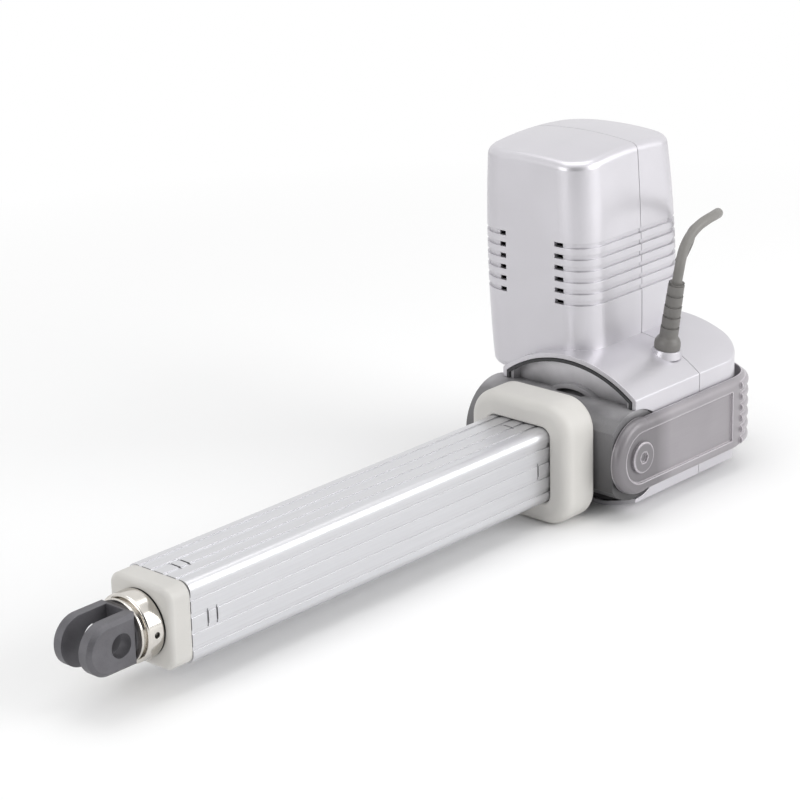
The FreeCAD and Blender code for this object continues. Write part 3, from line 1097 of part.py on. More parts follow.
def build():
    """Every sub-part, in the order in which they come off the bench."""
    shells()
    front_cover()
    collar()
    outer_tube()
    end_cap()
    rod_end()
    rear_fork()
    gear_frame()
    spindle_group()
    worm_wheel()
    clutch()
    worm_and_motor()
    release_yoke()
    release_lever()
    cable_gland()
    cable()


def check_and_write():
    """Stops on a failed object, then writes each sub-part to its STEP file."""
    doc.recompute()
    bad = [obj.Name for obj in doc.Objects if {"Invalid", "Error"} & set(obj.State)]
    if bad:
        raise RuntimeError(f"objects in error: {bad}")
    os.makedirs("parts", exist_ok=True)
    for part in parts:
        if part.Shape.isNull() or not part.Shape.isValid():
            raise RuntimeError(f"{part.Label} has no valid shape")
        part.Shape.exportStep(f"parts/{part.Label}.step")
        print(f"{part.Label:22s} solids {len(part.Shape.Solids)}  volume {part.Shape.Volume:10.1f}")


build()
check_and_write()
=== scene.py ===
"""The look of an electric linear actuator: its finishes, its cable and the studio round it."""

import json
import math

import bmesh
import bpy
from mathutils import Matrix, Vector


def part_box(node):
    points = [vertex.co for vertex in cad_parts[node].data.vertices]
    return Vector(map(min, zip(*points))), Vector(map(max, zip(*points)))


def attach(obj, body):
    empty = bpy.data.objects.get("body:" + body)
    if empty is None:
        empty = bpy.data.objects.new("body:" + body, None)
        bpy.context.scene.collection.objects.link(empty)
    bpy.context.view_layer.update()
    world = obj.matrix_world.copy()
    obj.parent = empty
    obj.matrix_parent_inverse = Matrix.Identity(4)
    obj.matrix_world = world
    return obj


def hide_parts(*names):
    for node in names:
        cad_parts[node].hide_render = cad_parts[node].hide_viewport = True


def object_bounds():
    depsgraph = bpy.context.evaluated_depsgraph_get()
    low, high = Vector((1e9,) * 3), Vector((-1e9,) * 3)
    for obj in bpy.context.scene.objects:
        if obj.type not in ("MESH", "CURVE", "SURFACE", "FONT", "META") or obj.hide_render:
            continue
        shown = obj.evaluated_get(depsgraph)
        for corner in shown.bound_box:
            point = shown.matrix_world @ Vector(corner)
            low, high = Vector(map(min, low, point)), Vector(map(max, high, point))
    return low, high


bl_info = {
    "name": "Linear Actuator Look",
    "version": (1, 0, 0),
    "blender": (4, 5, 0),
    "location": "3D View > Sidebar > Actuator",
    "description": "Finishes, cable and studio for an electric linear actuator",
    "category": "Object",
}

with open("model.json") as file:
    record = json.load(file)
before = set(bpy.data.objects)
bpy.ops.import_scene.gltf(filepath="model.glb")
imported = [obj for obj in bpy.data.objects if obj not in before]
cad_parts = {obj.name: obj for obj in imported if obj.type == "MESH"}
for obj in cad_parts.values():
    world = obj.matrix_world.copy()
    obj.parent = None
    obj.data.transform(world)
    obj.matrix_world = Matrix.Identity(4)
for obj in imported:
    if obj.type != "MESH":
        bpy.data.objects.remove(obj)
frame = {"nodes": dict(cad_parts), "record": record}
CAD_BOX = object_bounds()
MM = 0.001


def from_screen(red, green, blue):
    """A colour given as it shows on a screen, from 0 to 255, as linear light."""
    def light(level):
        part = level / 255
        return part / 12.92 if part <= 0.04045 else ((part + 0.055) / 1.055) ** 2.4
    return light(red), light(green), light(blue)


def colour(label, meaning, *screen):
    """A colour that a user can change."""
    return bpy.props.FloatVectorProperty(name=label, description=meaning, size=3, min=0, max=1,
                                         subtype="COLOR", default=from_screen(*screen))


def length(label, meaning, metres):
    """A size that a user can change."""
    return bpy.props.FloatProperty(name=label, description=meaning, default=metres, min=0,
                                   unit="LENGTH", precision=4)


class ActuatorColours(bpy.types.PropertyGroup):
    """The colours of the actuator's finishes."""
    housing: colour("Housing", "Silver plastic of the two shells", 206, 204, 209)
    cover: colour("Front cover", "Dark plastic of the cover behind the collar", 118, 117, 119)
    cap: colour("Collar", "Light plastic of the collar and the end cap", 204, 202, 198)
    lever: colour("Lever", "Satin plastic of the release lever", 150, 146, 150)
    alloy: colour("Tube", "Drawn and anodised tube", 213, 213, 216)
    casting: colour("Fork", "Dark casting of the forks", 104, 103, 107)
    sheath: colour("Cable", "Sheath of the cable and its gland", 124, 122, 119)
    floor: colour("Floor", "Pale floor of the studio", 250, 250, 250)


class ActuatorSizes(bpy.types.PropertyGroup):
    """The sizes of what is made here and not in the solids."""
    cable_diameter: length("Cable diameter", "Outside of the cable's sheath", 5.6 * MM)
    cable_length: length("Cable length", "From the gland to the plug, the coil included", 0.9)
    coil_radius: length("Coil radius", "Middle of the coil's turns", 31 * MM)
    strand_step: length("Strand step", "From one turn of the coil to the next", 5.75 * MM)
    tie_width: length("Tie width", "Band that holds the coil", 6 * MM)
    tie_thickness: length("Tie thickness", "Thickness of that band", 0.8 * MM)
    lamp_distance: length("Lamp distance", "From the actuator to the lamps", 1.6)


# Finishes


class Socket:
    """An output of a shader node, on which ordinary arithmetic makes Math nodes."""

    def __init__(self, graph, output):
        self.graph = graph
        self.output = output

    def __add__(self, other):
        return self.graph.math("ADD", self, other)

    def __sub__(self, other):
        return self.graph.math("SUBTRACT", self, other)

    def __mul__(self, other):
        return self.graph.math("MULTIPLY", self, other)

    __radd__ = __add__
    __rmul__ = __mul__

    def __rsub__(self, other):
        return self.graph.math("SUBTRACT", other, self)

    def between(self, low, high):
        """0 at low and 1 at high, and no more or less outside them."""
        inputs = {"Value": self, "From Min": low, "From Max": high, "To Min": 0.0, "To Max": 1.0}
        return self.graph.node("ShaderNodeMapRange", inputs, clamp=True)


class Graph:
    """The shader nodes of a finish or of the surroundings."""

    def __init__(self, tree):
        self.tree = tree

    def feed(self, socket, value):
        """Gives a socket a number, a colour or another node's output."""
        if isinstance(value, Socket):
            self.tree.links.new(value.output, socket)
        else:
            socket.default_value = value

    def node(self, kind, inputs=(), output=0, **settings):
        """A node with its settings and inputs; it gives the output to go on with."""
        made = self.tree.nodes.new(kind)
        for key, value in settings.items():
            setattr(made, key, value)
        for key, value in dict(inputs).items():
            self.feed(made.inputs[key], value)
        return Socket(self, made.outputs[output])

    def math(self, operation, *values):
        return self.node("ShaderNodeMath", dict(enumerate(values)), operation=operation)


class Finish(Graph):
    """One finish, made node by node round its shader."""

    def __init__(self, name, tint, roughness, metallic=0.0, **plain):
        self.material = bpy.data.materials.new(name)
        self.material.use_nodes = True
        super().__init__(self.material.node_tree)
        self.shader = self.tree.nodes["Principled BSDF"]
        self.tint = (*tint, 1.0)
        self.material.diffuse_color = self.tint
        self.paint(**{"Base Color": self.tint, "Roughness": roughness, "Metallic": metallic})
        self.paint(**plain)

    def paint(self, **sockets):
        """Feeds the shader's own sockets."""
        for name, value in sockets.items():
            self.feed(self.shader.inputs[name], value)

    def place(self):
        """The point on the object, in metres."""
        return self.node("ShaderNodeTexCoord", output="Object")

    def along(self, axis):
        """The place along X, Y or Z, in metres."""
        return self.node("ShaderNodeSeparateXYZ", {0: self.place()}, output=axis)

    def edges(self, width):
        """1 on edges that bend sharply within a width, and 0 on plain faces."""
        soft = self.node("ShaderNodeBevel", {"Radius": width}, samples=4)
        plain = self.node("ShaderNodeNewGeometry", output=1)
        same = self.node("ShaderNodeVectorMath", {0: soft, 1: plain}, output=1, operation="DOT_PRODUCT")
        return same.between(0.999, 0.96)

    def hollows(self, width):
        """1 deep in hollows of a width, and 0 in the open."""
        inputs = {"Distance": width}
        daylight = self.node("ShaderNodeAmbientOcclusion", inputs, output=1, samples=6, only_local=True)
        return daylight.between(0.75, 0.2)

    def noise(self, size, stretch=(1, 1, 1), detail=2.0, roughness=0.5):
        """Soft noise about 0.5, with grains of a size in metres, longer where stretch is small."""
        point = self.node("ShaderNodeVectorMath", {0: self.place(), 1: stretch}, operation="MULTIPLY")
        inputs = {"Vector": point, "Scale": 1 / size, "Detail": detail, "Roughness": roughness}
        return self.node("ShaderNodeTexNoise", inputs)

    def grains(self, size):
        """The distance to the nearest of many scattered points."""
        return self.node("ShaderNodeTexVoronoi", {"Vector": self.place(), "Scale": 1 / size})

    def mix(self, amount, first, second):
        """A colour between two colours."""
        return self.node("ShaderNodeMix", {0: amount, 6: first, 7: second}, output=2, data_type="RGBA")

    def shade(self, factor):
        """The finish's own colour, times a factor."""
        return tuple(min(1.0, part * factor) for part in self.tint[:3]) + (1.0,)

    def vary(self, amount, darker, lighter):
        """The finish's colour, from a darker to a lighter shade as amount goes from 0 to 1."""
        self.paint(**{"Base Color": self.mix(amount, self.shade(darker), self.shade(lighter))})

    def bump(self, height, depth, soften=0.0):
        """Relief from a height that goes from 0 to 1, a depth in metres, over softened edges."""
        inputs = {"Height": height, "Distance": depth, "Strength": 1.0}
        if soften:
            inputs["Normal"] = self.node("ShaderNodeBevel", {"Radius": soften}, samples=4)
        self.paint(Normal=self.node("ShaderNodeBump", inputs))


def moulded(name, tint, roughness, grain=0.35 * MM, depth=0.012 * MM, **plain):
    """Moulded plastic: a fine spark-eroded grain, and a little cloudiness in the gloss."""
    finish = Finish(name, tint, roughness, **plain)
    cloud = finish.noise(30 * MM, detail=3.0)
    finish.vary(cloud.between(0.3, 0.7), 0.965, 1.03)
    speckle = finish.noise(grain, detail=1.0)
    finish.paint(Roughness=roughness + (cloud - 0.5) * 0.08 + (speckle - 0.5) * 0.08)
    finish.bump(speckle, depth, soften=0.5 * MM)
    return finish


def housing_plastic(colours):
    """Silver plastic, half metallic, with a faint flake under the surface."""
    coat = {"Coat Weight": 0.1, "Coat Roughness": 0.3}
    finish = moulded("housing_silver", colours.housing, 0.34, **coat)
    flake = finish.grains(0.25 * MM).between(0.15, 0.75)
    cloud = finish.noise(45 * MM, detail=2.0).between(0.35, 0.65)
    finish.vary(flake * 0.35 + cloud * 0.65, 0.95, 1.03)
    finish.paint(Metallic=0.5 + flake * 0.1)
    return finish


def cover_plastic(colours):
    """Satin plastic of the front cover, with painted light making it much lighter high up and painted
    shade making it darker low down.
    """
    finish = moulded("cover_grey", colours.cover, 0.3, depth=0.01 * MM)
    cloud = finish.noise(14 * MM, detail=2.0)
    height = finish.along(2) + (cloud - 0.5) * (8 * MM)
    # painted shade: the colour darkens low down, where shade falls on the cover
    barrel_painted_shade = finish.mix(height.between(-16 * MM, 18 * MM), finish.shade(0.32), finish.shade(0.95))
    # painted light: high up, the colour is raised well above the plastic's own to lighten the recess
    visor_painted_light = finish.mix(height.between(22 * MM, 36 * MM), barrel_painted_shade, finish.shade(4.6))
    finish.paint(**{"Base Color": visor_painted_light})
    return finish


def cap_plastic(colours):
    """Light plastic of the collar and the end cap, with its finely blasted skin."""
    return moulded("collar_light_grey", colours.cap, 0.48, grain=0.5 * MM, depth=0.02 * MM)


def lever_plastic(colours):
    """Satin grey plastic of the lever, faintly streaked, with painted shade at its pivot end and painted
    highlights along its edges.
    """
    finish = moulded("lever_grey", colours.lever, 0.34)
    streak = finish.noise(1.2 * MM, stretch=(0.05, 1, 1), detail=3.0)
    cloud = finish.noise(25 * MM, detail=2.0)
    amount = (streak * 0.25 + cloud * 0.75).between(0.35, 0.65)
    satin = finish.mix(amount, finish.shade(0.95), finish.shade(1.05))
    # painted shade: the pivot end of the lever is darkened
    hub_painted_shade = finish.mix(finish.along(0).between(99 * MM, 112 * MM), satin, finish.shade(0.6))
    # painted highlight: sharp edges are made much lighter, as where they catch the light
    edge_painted_highlight = finish.mix(finish.edges(1.3 * MM), hub_painted_shade, finish.shade(2.2))
    finish.paint(Metallic=0.15, **{"Base Color": edge_painted_highlight})
    return finish


def drawn_alloy(colours):
    """Anodised tube: die lines along it, which also break up the gloss, and painted shade in the grooves.
    """
    finish = Finish("drawn_alloy", colours.alloy, 0.3, metallic=0.9)
    fine = finish.noise(0.25 * MM, stretch=(0.008, 1, 1), detail=4.0, roughness=0.7)
    broad = finish.noise(3 * MM, stretch=(0.01, 1, 1), detail=2.0)
    amount = (fine * 0.6 + broad * 0.4).between(0.3, 0.7)
    drawn = finish.mix(amount, finish.shade(0.9), finish.shade(1.04))
    # painted shade: the colour darkens deep in grooves and slits, where shade falls
    groove_painted_shade = finish.mix(finish.hollows(2.5 * MM), drawn, finish.shade(0.35))
    finish.paint(**{"Base Color": groove_painted_shade})
    finish.paint(Roughness=0.24 + fine * 0.16, Anisotropic=0.3)
    finish.bump(fine, 0.012 * MM, soften=0.25 * MM)
    return finish


def dark_casting(colours):
    """Shot-blasted casting with small pits and slightly polished high spots."""
    finish = Finish("dark_casting", colours.casting, 0.5, metallic=0.55)
    sand = finish.noise(0.6 * MM, detail=4.0, roughness=0.65)
    cloud = finish.noise(9 * MM, detail=3.0)
    finish.vary((sand * 0.5 + cloud * 0.5).between(0.35, 0.65), 0.82, 1.12)
    finish.paint(Roughness=0.4 + sand * 0.2)
    finish.bump(sand, 0.06 * MM, soften=0.6 * MM)
    return finish


def ground_metal(name, tint, roughness, metallic=1.0, across=(1, 1, 1)):
    """Turned or ground metal with fine tool marks."""
    finish = Finish(name, tint, roughness, metallic)
    marks = finish.noise(0.2 * MM, stretch=across, detail=3.0)
    cloud = finish.noise(8 * MM, detail=2.0)
    finish.vary((marks * 0.4 + cloud * 0.6).between(0.35, 0.65), 0.9, 1.05)
    finish.paint(Roughness=roughness * 0.8 + marks * roughness * 0.4)
    finish.bump(marks, 0.004 * MM, soften=0.15 * MM)
    return finish


def chrome_ring(colours):
    return ground_metal("bright_ring", from_screen(214, 210, 204), 0.14, across=(1, 0.05, 0.05))


def piston_steel(colours):
    return ground_metal("ground_steel", from_screen(196, 197, 200), 0.22, across=(1, 0.03, 0.03))


def machined_steel(colours):
    return ground_metal("machined_steel", from_screen(168, 169, 173), 0.34)


def zinc_steel(colours):
    """Zinc plating: a faint blue and yellow tinge over the steel."""
    finish = ground_metal("zinc_plated", from_screen(184, 184, 180), 0.36, metallic=0.9)
    tinge = finish.noise(3 * MM, detail=2.0).between(0.35, 0.65)
    blue, yellow = (*from_screen(176, 180, 190), 1), (*from_screen(192, 186, 166), 1)
    finish.paint(**{"Base Color": finish.mix(tinge, blue, yellow)})
    return finish


def frame_casting(colours):
    """Die-cast alloy of the gear frame, as it leaves the die."""
    finish = Finish("frame_casting", from_screen(168, 169, 170), 0.5, metallic=0.8)
    flow = finish.noise(6 * MM, stretch=(1, 1, 0.3), detail=4.0)
    finish.vary(flow.between(0.3, 0.7), 0.85, 1.08)
    finish.bump(finish.noise(0.8 * MM, detail=3.0), 0.04 * MM, soften=0.4 * MM)
    return finish


def ferrite(colours):
    """Sintered magnet: dull, dark and finely pitted."""
    finish = Finish("magnet_ceramic", from_screen(66, 66, 70), 0.6, metallic=0.1)
    pits = finish.grains(0.6 * MM)
    finish.vary(pits.between(0.1, 0.6), 0.8, 1.1)
    finish.bump(pits, 0.03 * MM)
    return finish


def turned_brass(colours):
    return ground_metal("turned_brass", from_screen(202, 170, 104), 0.26)


def wound_copper(colours):
    """Enamelled wire, wound in fine turns."""
    finish = Finish("enamelled_copper", from_screen(186, 110, 66), 0.3, metallic=0.8)
    inputs = {"Vector": finish.place(), "Scale": 1 / (5 * MM), "Distortion": 0.6}
    turns = finish.node("ShaderNodeTexWave", inputs, wave_type="BANDS", bands_direction="Z")
    finish.vary(turns, 0.6, 1.1)
    finish.bump(turns, 0.15 * MM)
    return finish


def natural_plastic(colours):
    return moulded("natural_plastic", from_screen(226, 221, 206), 0.42, **{"Subsurface Weight": 0.05})


def pressed_carbon(colours):
    finish = Finish("pressed_carbon", from_screen(58, 58, 60), 0.55)
    finish.vary(finish.noise(0.5 * MM, detail=3.0).between(0.3, 0.7), 0.7, 1.2)
    return finish


def soft_rubber(colours):
    """Black sealing rubber, a little dusty."""
    finish = Finish("seal_rubber", from_screen(52, 52, 54), 0.55)
    dust = finish.noise(2 * MM, detail=3.0).between(0.4, 0.7)
    finish.vary(dust, 0.85, 1.25)
    finish.paint(Roughness=0.5 + dust * 0.15)
    finish.bump(finish.noise(0.3 * MM), 0.01 * MM)
    return finish


def cable_sheath(colours):
    """Satin grey sheath with the faint waves of its extrusion, with painted shade below the gland's tip
    and painted light higher up the cable.
    """
    finish = Finish("cable_sheath", colours.sheath, 0.46)
    cloud = finish.noise(6 * MM, detail=3.0)
    rubbed = finish.mix(cloud.between(0.35, 0.65), finish.shade(0.93), finish.shade(1.05))
    high = finish.along(2).between(74 * MM, 96 * MM)
    # painted shade: below the gland's tip the sheath is darkened
    gland = finish.mix(0.35, rubbed, finish.shade(0.4))
    # painted light: higher up, the cable is lightened
    cable = finish.mix(0.5, rubbed, finish.shade(1.1))
    finish.paint(**{"Base Color": finish.mix(high, gland, cable)})
    finish.paint(Roughness=0.42 + cloud * 0.1)
    finish.bump(finish.noise(0.5 * MM, detail=2.0), 0.012 * MM, soften=0.3 * MM)
    return finish


def green_laminate(colours):
    """Circuit board under its varnish, with plain tracks."""
    finish = Finish("board_laminate", from_screen(38, 96, 62), 0.3, **{"Coat Weight": 0.3})
    inputs = {"Vector": finish.place(), "Scale": 1 / (9 * MM), "Mortar Size": 0.03}
    tracks = finish.node("ShaderNodeTexBrick", inputs, output="Fac")
    finish.vary(tracks, 0.9, 1.7)
    return finish


def tie_fabric():
    """Woven hook-and-loop band."""
    finish = Finish("tie_band", from_screen(40, 40, 42), 0.8, **{"Sheen Weight": 0.3})
    inputs = {"Vector": finish.place(), "Scale": 1 / (2 * MM)}
    weave = finish.node("ShaderNodeTexWave", inputs, bands_direction="DIAGONAL")
    finish.vary(weave, 0.7, 1.3)
    finish.bump(weave, 0.1 * MM)
    return finish


FINISHES = {
    "housing_plastic": housing_plastic,
    "cover_plastic": cover_plastic,
    "cap_plastic": cap_plastic,
    "lever_plastic": lever_plastic,
    "aluminium": drawn_alloy,
    "chrome": chrome_ring,
    "ground_steel": piston_steel,
    "cast_metal": dark_casting,
    "frame_metal": frame_casting,
    "steel": machined_steel,
    "plated_steel": zinc_steel,
    "magnet": ferrite,
    "brass": turned_brass,
    "copper": wound_copper,
    "inner_plastic": natural_plastic,
    "carbon": pressed_carbon,
    "rubber": soft_rubber,
    "cable_sheath": cable_sheath,
    "board": green_laminate,
}


MADE = {}


def finish_named(slot):
    """The finish of one of the record's slots, made once."""
    maker = FINISHES[slot]
    if slot not in MADE:
        MADE[slot] = maker(bpy.context.scene.actuator_colours).material
    return MADE[slot]


# Pieces


def piece_from(name, form, body, slot):
    """A new piece from a form, riding on a body with the finish of a slot."""
    mesh = bpy.data.meshes.new(name)
    form.normal_update()
    form.to_mesh(mesh)
    form.free()
    piece = bpy.data.objects.new(name, mesh)
    bpy.context.scene.collection.objects.link(piece)
    mesh.materials.append(finish_named(slot))
    mesh.polygons.foreach_set("use_smooth", [True] * len(mesh.polygons))
    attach(piece, body)
    return piece


def turned(form, profile, start, axis, around=48):
    """Adds a turned shape to a form; its profile pairs a distance along the axis with a radius."""
    side = axis.orthogonal().normalized()
    other = axis.cross(side)
    rings = []
    for along, radius in profile:
        ring = []
        for n in range(around):
            angle = math.tau * n / around
            out = side * math.cos(angle) + other * math.sin(angle)
            ring.append(form.verts.new(start + axis * along + out * radius))
        rings.append(ring)
    for low, high in zip(rings, rings[1:]):
        for n in range(around):
            m = (n + 1) % around
            form.faces.new((low[n], low[m], high[m], high[n]))
    form.faces.new(list(reversed(rings[0])))
    form.faces.new(rings[-1])


def sharp_where_bent(piece, degrees=35):
    """Keeps crisp edges where a smooth piece bends more than an angle."""
    mesh = piece.data
    form = bmesh.new()
    form.from_mesh(mesh)
    for edge in form.edges:
        edge.smooth = len(edge.link_faces) == 2 and edge.calc_face_angle() < math.radians(degrees)
    form.to_mesh(mesh)
    form.free()


CABLE_ROUTE = [
    (74.5, 34.5, 81.9), (74.5, 36.2, 90.8), (71.3, 36.2, 100.5), (64.5, 36.7, 108.1),
    (54.9, 37.3, 112.3), (40.2, 35.8, 112.8), (27.5, 27.4, 109.4), (18.6, 10.7, 98.8),
    (16.6, 0.7, 91), (10.6, -4.9, 81.5), (11.7, -20.2, 53.6), (8.9, -30.1, 35.6),
    (2, -37, 25), (-6, -42, 5), (-13, -49, -13), (-16.5, -62, -21.5), (-18.1, -78, -25.4),
]
COIL_CENTRE = Vector((-52, -78, 0)) * MM
COIL_SHIFTS = (300, 610, 920)
COIL_SHIFT_SPAN = 50
COIL_LEAVES = 1080
TURN_POINTS = 18
PLUG_RIBS = 5
PLUG_CONTACTS = 4
TIE_CORNER_STEPS = 8
TIE_SLACK = 0.25 * MM
TIE_LIFT = 0.1 * MM


def coil_points(sizes):
    """The turns of the coil, which change place one after the other in a square of four strands."""
    step = sizes.strand_step
    floor = CAD_BOX[0][2]
    low = floor + sizes.cable_diameter / 2
    slots = [(1, 1), (-1, 1), (-1, 0), (1, 0)]
    points = []
    count = round(COIL_LEAVES / 360 * TURN_POINTS)
    for n in range(1, count + 1):
        along = COIL_LEAVES * n / count
        outward, upward = slots[0]
        for shift, (next_out, next_up) in zip(COIL_SHIFTS, slots[1:]):
            share = min(1.0, max(0.0, (along - shift) / COIL_SHIFT_SPAN))
            share = share * share * (3 - 2 * share)
            outward += (next_out - outward) * share
            upward += (next_up - upward) * share
        radius = (sizes.coil_radius + outward * step / 2) / math.cos(math.pi / TURN_POINTS)
        angle = -math.radians(along)
        across, beside = radius * math.cos(angle), radius * math.sin(angle)
        points.append(COIL_CENTRE + Vector((across, beside, low + upward * step)))
    return points


def lead_to_plug(last, sizes):
    """The cable's last stretch, from the coil's foot along the floor into the plug's tail."""
    low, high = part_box("cable_plug")
    tail = Vector((high.x, (low.y + high.y) / 2, (low.z + high.z) / 2))
    corner = last.x - tail.x - 12 * MM
    return [
        Vector((last.x, tail.y + corner, last.z)),
        Vector((last.x - corner, tail.y, (last.z * 2 + tail.z) / 3)),
        tail + Vector((-2 * MM, 0, 0)),
    ]


class ACTUATOR_OT_finishes(bpy.types.Operator):
    """Gives every solid its finish"""
    bl_idname = "actuator.finishes"
    bl_label = "Finishes"

    def execute(self, context):
        for part in frame["record"]["subparts"]:
            node = frame["nodes"][part["node"]]
            for slot in node.material_slots:
                slot.material = finish_named(part["material_slot"])
        return {"FINISHED"}


class ACTUATOR_OT_cable(bpy.types.Operator):
    """Lays the cable from the gland to the coil and on to the plug"""
    bl_idname = "actuator.cable"
    bl_label = "Cable"

    def execute(self, context):
        sizes = context.scene.actuator_sizes
        points = [Vector(place) * MM for place in CABLE_ROUTE]
        points += coil_points(sizes)
        points += lead_to_plug(points[-1], sizes)
        line = bpy.data.curves.new("cable", "CURVE")
        line.dimensions = "3D"
        line.bevel_depth = sizes.cable_diameter / 2
        line.bevel_resolution = 5
        line.use_fill_caps = True
        spline = line.splines.new("NURBS")
        spline.points.add(len(points) - 1)
        for knot, point in zip(spline.points, points):
            knot.co = (*point, 1)
        spline.order_u = 3
        spline.use_endpoint_u = True
        spline.resolution_u = 8
        cable = bpy.data.objects.new("cable", line)
        context.scene.collection.objects.link(cable)
        line.materials.append(finish_named("cable_sheath"))
        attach(cable, "housing")
        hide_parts("cable_tube", "cable_coil")
        return {"FINISHED"}


class ACTUATOR_OT_plug(bpy.types.Operator):
    """Makes the round plug with its ribbed tail, and the tie round the coil"""
    bl_idname = "actuator.plug"
    bl_label = "Plug and tie"

    def execute(self, context):
        sizes = context.scene.actuator_sizes
        low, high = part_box("cable_plug")
        middle, radius = (low + high) / 2, (high.z - low.z) / 2
        span = high.x - low.x
        form = bmesh.new()
        nose = [(0, radius * 0.74), (0.4 * MM, radius * 0.78), (span * 0.14, radius * 0.78)]
        grip = [(span * 0.145, radius * 0.96), (span * 0.16, radius), (span * 0.56, radius),
                (span * 0.6, radius * 0.94), (span * 0.62, radius * 0.8)]
        profile = nose + grip
        for n in range(PLUG_RIBS):
            at = span * (0.64 + 0.065 * n)
            thick = radius * (0.78 - 0.05 * n)
            profile += [(at, thick), (at + span * 0.035, thick)]
            profile += [(at + span * 0.04, thick * 0.84), (at + span * 0.06, thick * 0.84)]
        profile += [(span, radius * 0.5)]
        turned(form, profile, Vector((low.x, middle.y, middle.z)), Vector((1, 0, 0)))
        plug = piece_from("plug", form, "housing", "cable_sheath")
        sharp_where_bent(plug)
        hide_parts("cable_plug")
        self.pins(low, middle, radius)
        self.tie(sizes)
        return {"FINISHED"}

    def pins(self, low, middle, radius):
        """Bright contacts in the plug's nose."""
        form = bmesh.new()
        for n in range(PLUG_CONTACTS):
            angle = math.tau * (n + 0.5) / PLUG_CONTACTS
            across, up = radius * 0.4 * math.cos(angle), radius * 0.4 * math.sin(angle)
            spot = Vector((low.x, middle.y + across, middle.z + up))
            pin = [(0.05 * MM, 0.9 * MM), (0.3 * MM, 1.0 * MM), (2 * MM, 1.0 * MM)]
            turned(form, pin, spot, Vector((1, 0, 0)), 16)
        piece_from("plug_contacts", form, "housing", "brass")

    def tie(self, sizes):
        """A soft band over the coil, with its ends on the floor."""
        half = sizes.strand_step / 2 + sizes.cable_diameter / 2 + TIE_SLACK
        floor = CAD_BOX[0][2]
        top = floor + 2 * half - 2 * TIE_LIFT
        corner = sizes.cable_diameter / 2
        outline = [(-half, floor + TIE_LIFT)]
        for side, start in ((-1, math.pi), (1, math.pi / 2)):
            for turn in range(TIE_CORNER_STEPS + 1):
                angle = start - math.pi / 2 * turn / TIE_CORNER_STEPS
                out = side * (half - corner) + corner * math.cos(angle)
                outline.append((out, top - corner + corner * math.sin(angle)))
        outline.append((half, floor + TIE_LIFT))
        form = bmesh.new()
        rows = []
        for side in (-0.5, 0.5):
            for thick in (0, sizes.tie_thickness):
                row = []
                for out, up in outline:
                    away = sizes.coil_radius + out * (1 + thick / half)
                    above = thick if up > top - corner * 1.01 else 0
                    place = Vector((-away, side * sizes.tie_width, up + above))
                    row.append(form.verts.new(COIL_CENTRE + place))
                rows.append(row)
        inner_a, outer_a, inner_b, outer_b = rows
        for n in range(len(outline) - 1):
            m = n + 1
            form.faces.new((outer_a[n], outer_a[m], outer_b[m], outer_b[n]))
            form.faces.new((inner_a[m], inner_a[n], inner_b[n], inner_b[m]))
            form.faces.new((inner_a[n], inner_a[m], outer_a[m], outer_a[n]))
            form.faces.new((outer_b[n], outer_b[m], inner_b[m], inner_b[n]))
        for n in (0, -1):
            form.faces.new((inner_a[n], outer_a[n], outer_b[n], inner_b[n]))
        bmesh.ops.recalc_face_normals(form, faces=form.faces)
        tie = piece_from("coil_tie", form, "housing", "rubber")
        tie.data.materials[0] = tie_fabric().material
        sharp_where_bent(tie)


# Studio

CAMERA_PLACE = Vector((1245.1, 907.4, 535.3)) * MM
CAMERA_TURN = math.radians(42.639)
CAMERA_DIP = math.radians(19.578)
CAMERA_ROLL = math.radians(-1.453)
PHOTO_WIDTH = 800
FOCAL_PIXELS = 2820.5
SENSOR = 36
CAMERA_REACH = 20
FLOOR_HALF = 6
FADE_CENTRE = (0.15, 0, 0)
FADE_START = 0.3
FADE_END = 0.75
FILL = 0.55
PATCH_WAY = (CAMERA_PLACE - Vector((0.1, 0, 0.1))).normalized()
PATCH_START = 0.8
PATCH_END = 0.94
PATCH_LEVEL = 0.02


def lamp(name, place, target, width, height, power):
    """A soft rectangular lamp, pointed at a target."""
    light = bpy.data.lights.new(name, "AREA")
    light.shape = "RECTANGLE"
    light.size = width
    light.size_y = height
    light.energy = power
    made = bpy.data.objects.new(name, light)
    bpy.context.scene.collection.objects.link(made)
    made.location = place
    made.rotation_euler = (Vector(target) - made.location).to_track_quat("-Z", "Y").to_euler()


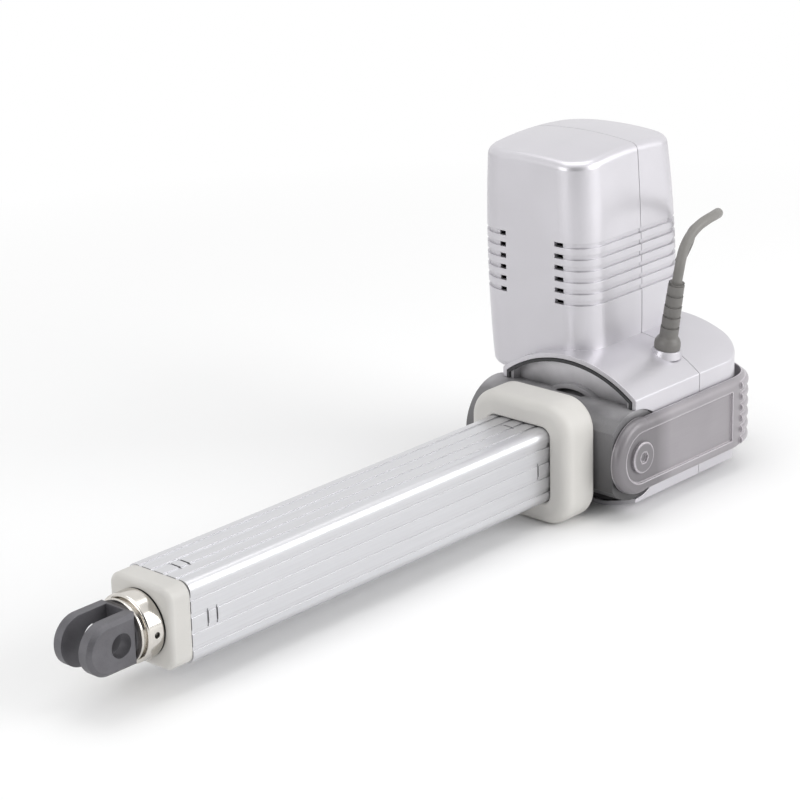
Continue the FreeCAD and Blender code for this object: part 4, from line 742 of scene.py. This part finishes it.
class ACTUATOR_OT_studio(bpy.types.Operator):
    """Sets the camera, the lamps, the pale floor and the white surroundings"""
    bl_idname = "actuator.studio"
    bl_label = "Studio"

    def execute(self, context):
        self.camera(context)
        self.lamps(context)
        self.floor(context)
        self.surroundings(context)
        context.scene.view_settings.view_transform = "Standard"
        return {"FINISHED"}

    def camera(self, context):
        """The photograph's camera, worked out from the part's own edges."""
        along, across, flat = math.cos(CAMERA_TURN), math.sin(CAMERA_TURN), math.cos(CAMERA_DIP)
        forward = Vector((-along * flat, -across * flat, -math.sin(CAMERA_DIP)))
        level = Vector((-across, along, 0))
        upright = level.cross(forward)
        right = level * math.cos(CAMERA_ROLL) + upright * math.sin(CAMERA_ROLL)
        up = upright * math.cos(CAMERA_ROLL) - level * math.sin(CAMERA_ROLL)
        lens = bpy.data.cameras.new("photo_camera")
        lens.sensor_width = SENSOR
        lens.lens = FOCAL_PIXELS * SENSOR / PHOTO_WIDTH
        lens.clip_end = CAMERA_REACH
        camera = bpy.data.objects.new("photo_camera", lens)
        context.scene.collection.objects.link(camera)
        turn = Matrix((right, up, -forward)).transposed()
        camera.matrix_world = Matrix.Translation(CAMERA_PLACE) @ turn.to_4x4()
        context.scene.camera = camera

    def lamps(self, context):
        """A large soft lamp on the lever's side, one overhead and a weak one at the rod's end."""
        reach = context.scene.actuator_sizes.lamp_distance
        target = (0.2, 0, 0.03)
        lamp("side_lamp", (-0.5, reach - 0.2, 0.7), (0.05, 0, 0.05), width=1.3, height=1.1, power=16)
        lamp("top_lamp", (0.1, -0.1, reach), target, width=1.6, height=1.2, power=10)
        lamp("end_lamp", (reach + 0.2, -0.3, 0.5), target, width=0.9, height=0.9, power=6)

    def floor(self, context):
        """A pale floor under everything."""
        form = bmesh.new()
        bmesh.ops.create_grid(form, x_segments=1, y_segments=1, size=FLOOR_HALF)
        mesh = bpy.data.meshes.new("floor")
        form.to_mesh(mesh)
        form.free()
        floor = bpy.data.objects.new("floor", mesh)
        floor.location.z = CAD_BOX[0][2]
        context.scene.collection.objects.link(floor)
        finish = Finish("floor_pale", context.scene.actuator_colours.floor, 0.9)
        finish.vary(finish.noise(0.4), 0.99, 1.0)
        self.fade(finish)
        mesh.materials.append(finish.material)

    def fade(self, finish):
        """Turns the floor to plain white for the camera, away from the part and its shadow."""
        ends = {0: finish.place(), 1: FADE_CENTRE}
        away = finish.node("ShaderNodeVectorMath", ends, output=1, operation="DISTANCE")
        camera = finish.node("ShaderNodeLightPath", output="Is Camera Ray")
        seen = camera * away.between(FADE_START, FADE_END)
        plain = Socket(finish, finish.shader.outputs[0])
        white = finish.node("ShaderNodeEmission")
        both = finish.node("ShaderNodeMixShader", {0: seen, 1: plain, 2: white})
        finish.feed(finish.tree.nodes["Material Output"].inputs["Surface"], both)

    def surroundings(self, context):
        """White to the camera and, but for a dark patch, to reflections; a soft fill on the part."""
        world = bpy.data.worlds.new("studio")
        context.scene.world = world
        world.use_nodes = True
        sky = Graph(world.node_tree)
        camera = sky.node("ShaderNodeLightPath", output="Is Camera Ray")
        glossy = sky.node("ShaderNodeLightPath", output="Is Glossy Ray")
        seen = sky.math("MAXIMUM", camera, glossy)
        inputs = {"Value": seen, "To Min": FILL, "To Max": self.dark_end(sky, camera)}
        strength = sky.node("ShaderNodeMapRange", inputs)
        backdrop = world.node_tree.nodes["Background"]
        sky.feed(backdrop.inputs["Color"], (1, 1, 1, 1))
        sky.feed(backdrop.inputs["Strength"], strength)

    def dark_end(self, sky, camera):
        """White all round, but for reflections a darker patch where the photographer stands."""
        ways = {0: sky.node("ShaderNodeTexCoord", output="Generated"), 1: PATCH_WAY}
        toward = sky.node("ShaderNodeVectorMath", ways, output="Value", operation="DOT_PRODUCT")
        inputs = {"Value": toward, "From Min": PATCH_START, "From Max": PATCH_END,
                  "To Min": 1.0, "To Max": PATCH_LEVEL}
        return sky.math("MAXIMUM", sky.node("ShaderNodeMapRange", inputs), camera)


class ACTUATOR_PT_panel(bpy.types.Panel):
    """Lists the colours and sizes, and the buttons that dress the actuator"""
    bl_idname = "ACTUATOR_PT_panel"
    bl_label = "Linear Actuator"
    bl_space_type = "VIEW_3D"
    bl_region_type = "UI"
    bl_category = "Actuator"

    def draw(self, context):
        for group in (context.scene.actuator_colours, context.scene.actuator_sizes):
            for name in group.__annotations__:
                self.layout.prop(group, name)
        for operator in OPERATORS:
            self.layout.operator(operator.bl_idname)


OPERATORS = (ACTUATOR_OT_finishes, ACTUATOR_OT_plug, ACTUATOR_OT_cable, ACTUATOR_OT_studio)
CLASSES = (ActuatorColours, ActuatorSizes, *OPERATORS, ACTUATOR_PT_panel)


def register():
    for item in CLASSES:
        bpy.utils.register_class(item)
    bpy.types.Scene.actuator_colours = bpy.props.PointerProperty(type=ActuatorColours)
    bpy.types.Scene.actuator_sizes = bpy.props.PointerProperty(type=ActuatorSizes)


def unregister():
    del bpy.types.Scene.actuator_sizes
    del bpy.types.Scene.actuator_colours
    for item in reversed(CLASSES):
        bpy.utils.unregister_class(item)


def main():
    """Dresses the actuator."""
    register()
    bpy.ops.actuator.finishes()
    bpy.ops.actuator.plug()
    bpy.ops.actuator.cable()
    bpy.ops.actuator.studio()


if __name__ == "__main__":
    main()
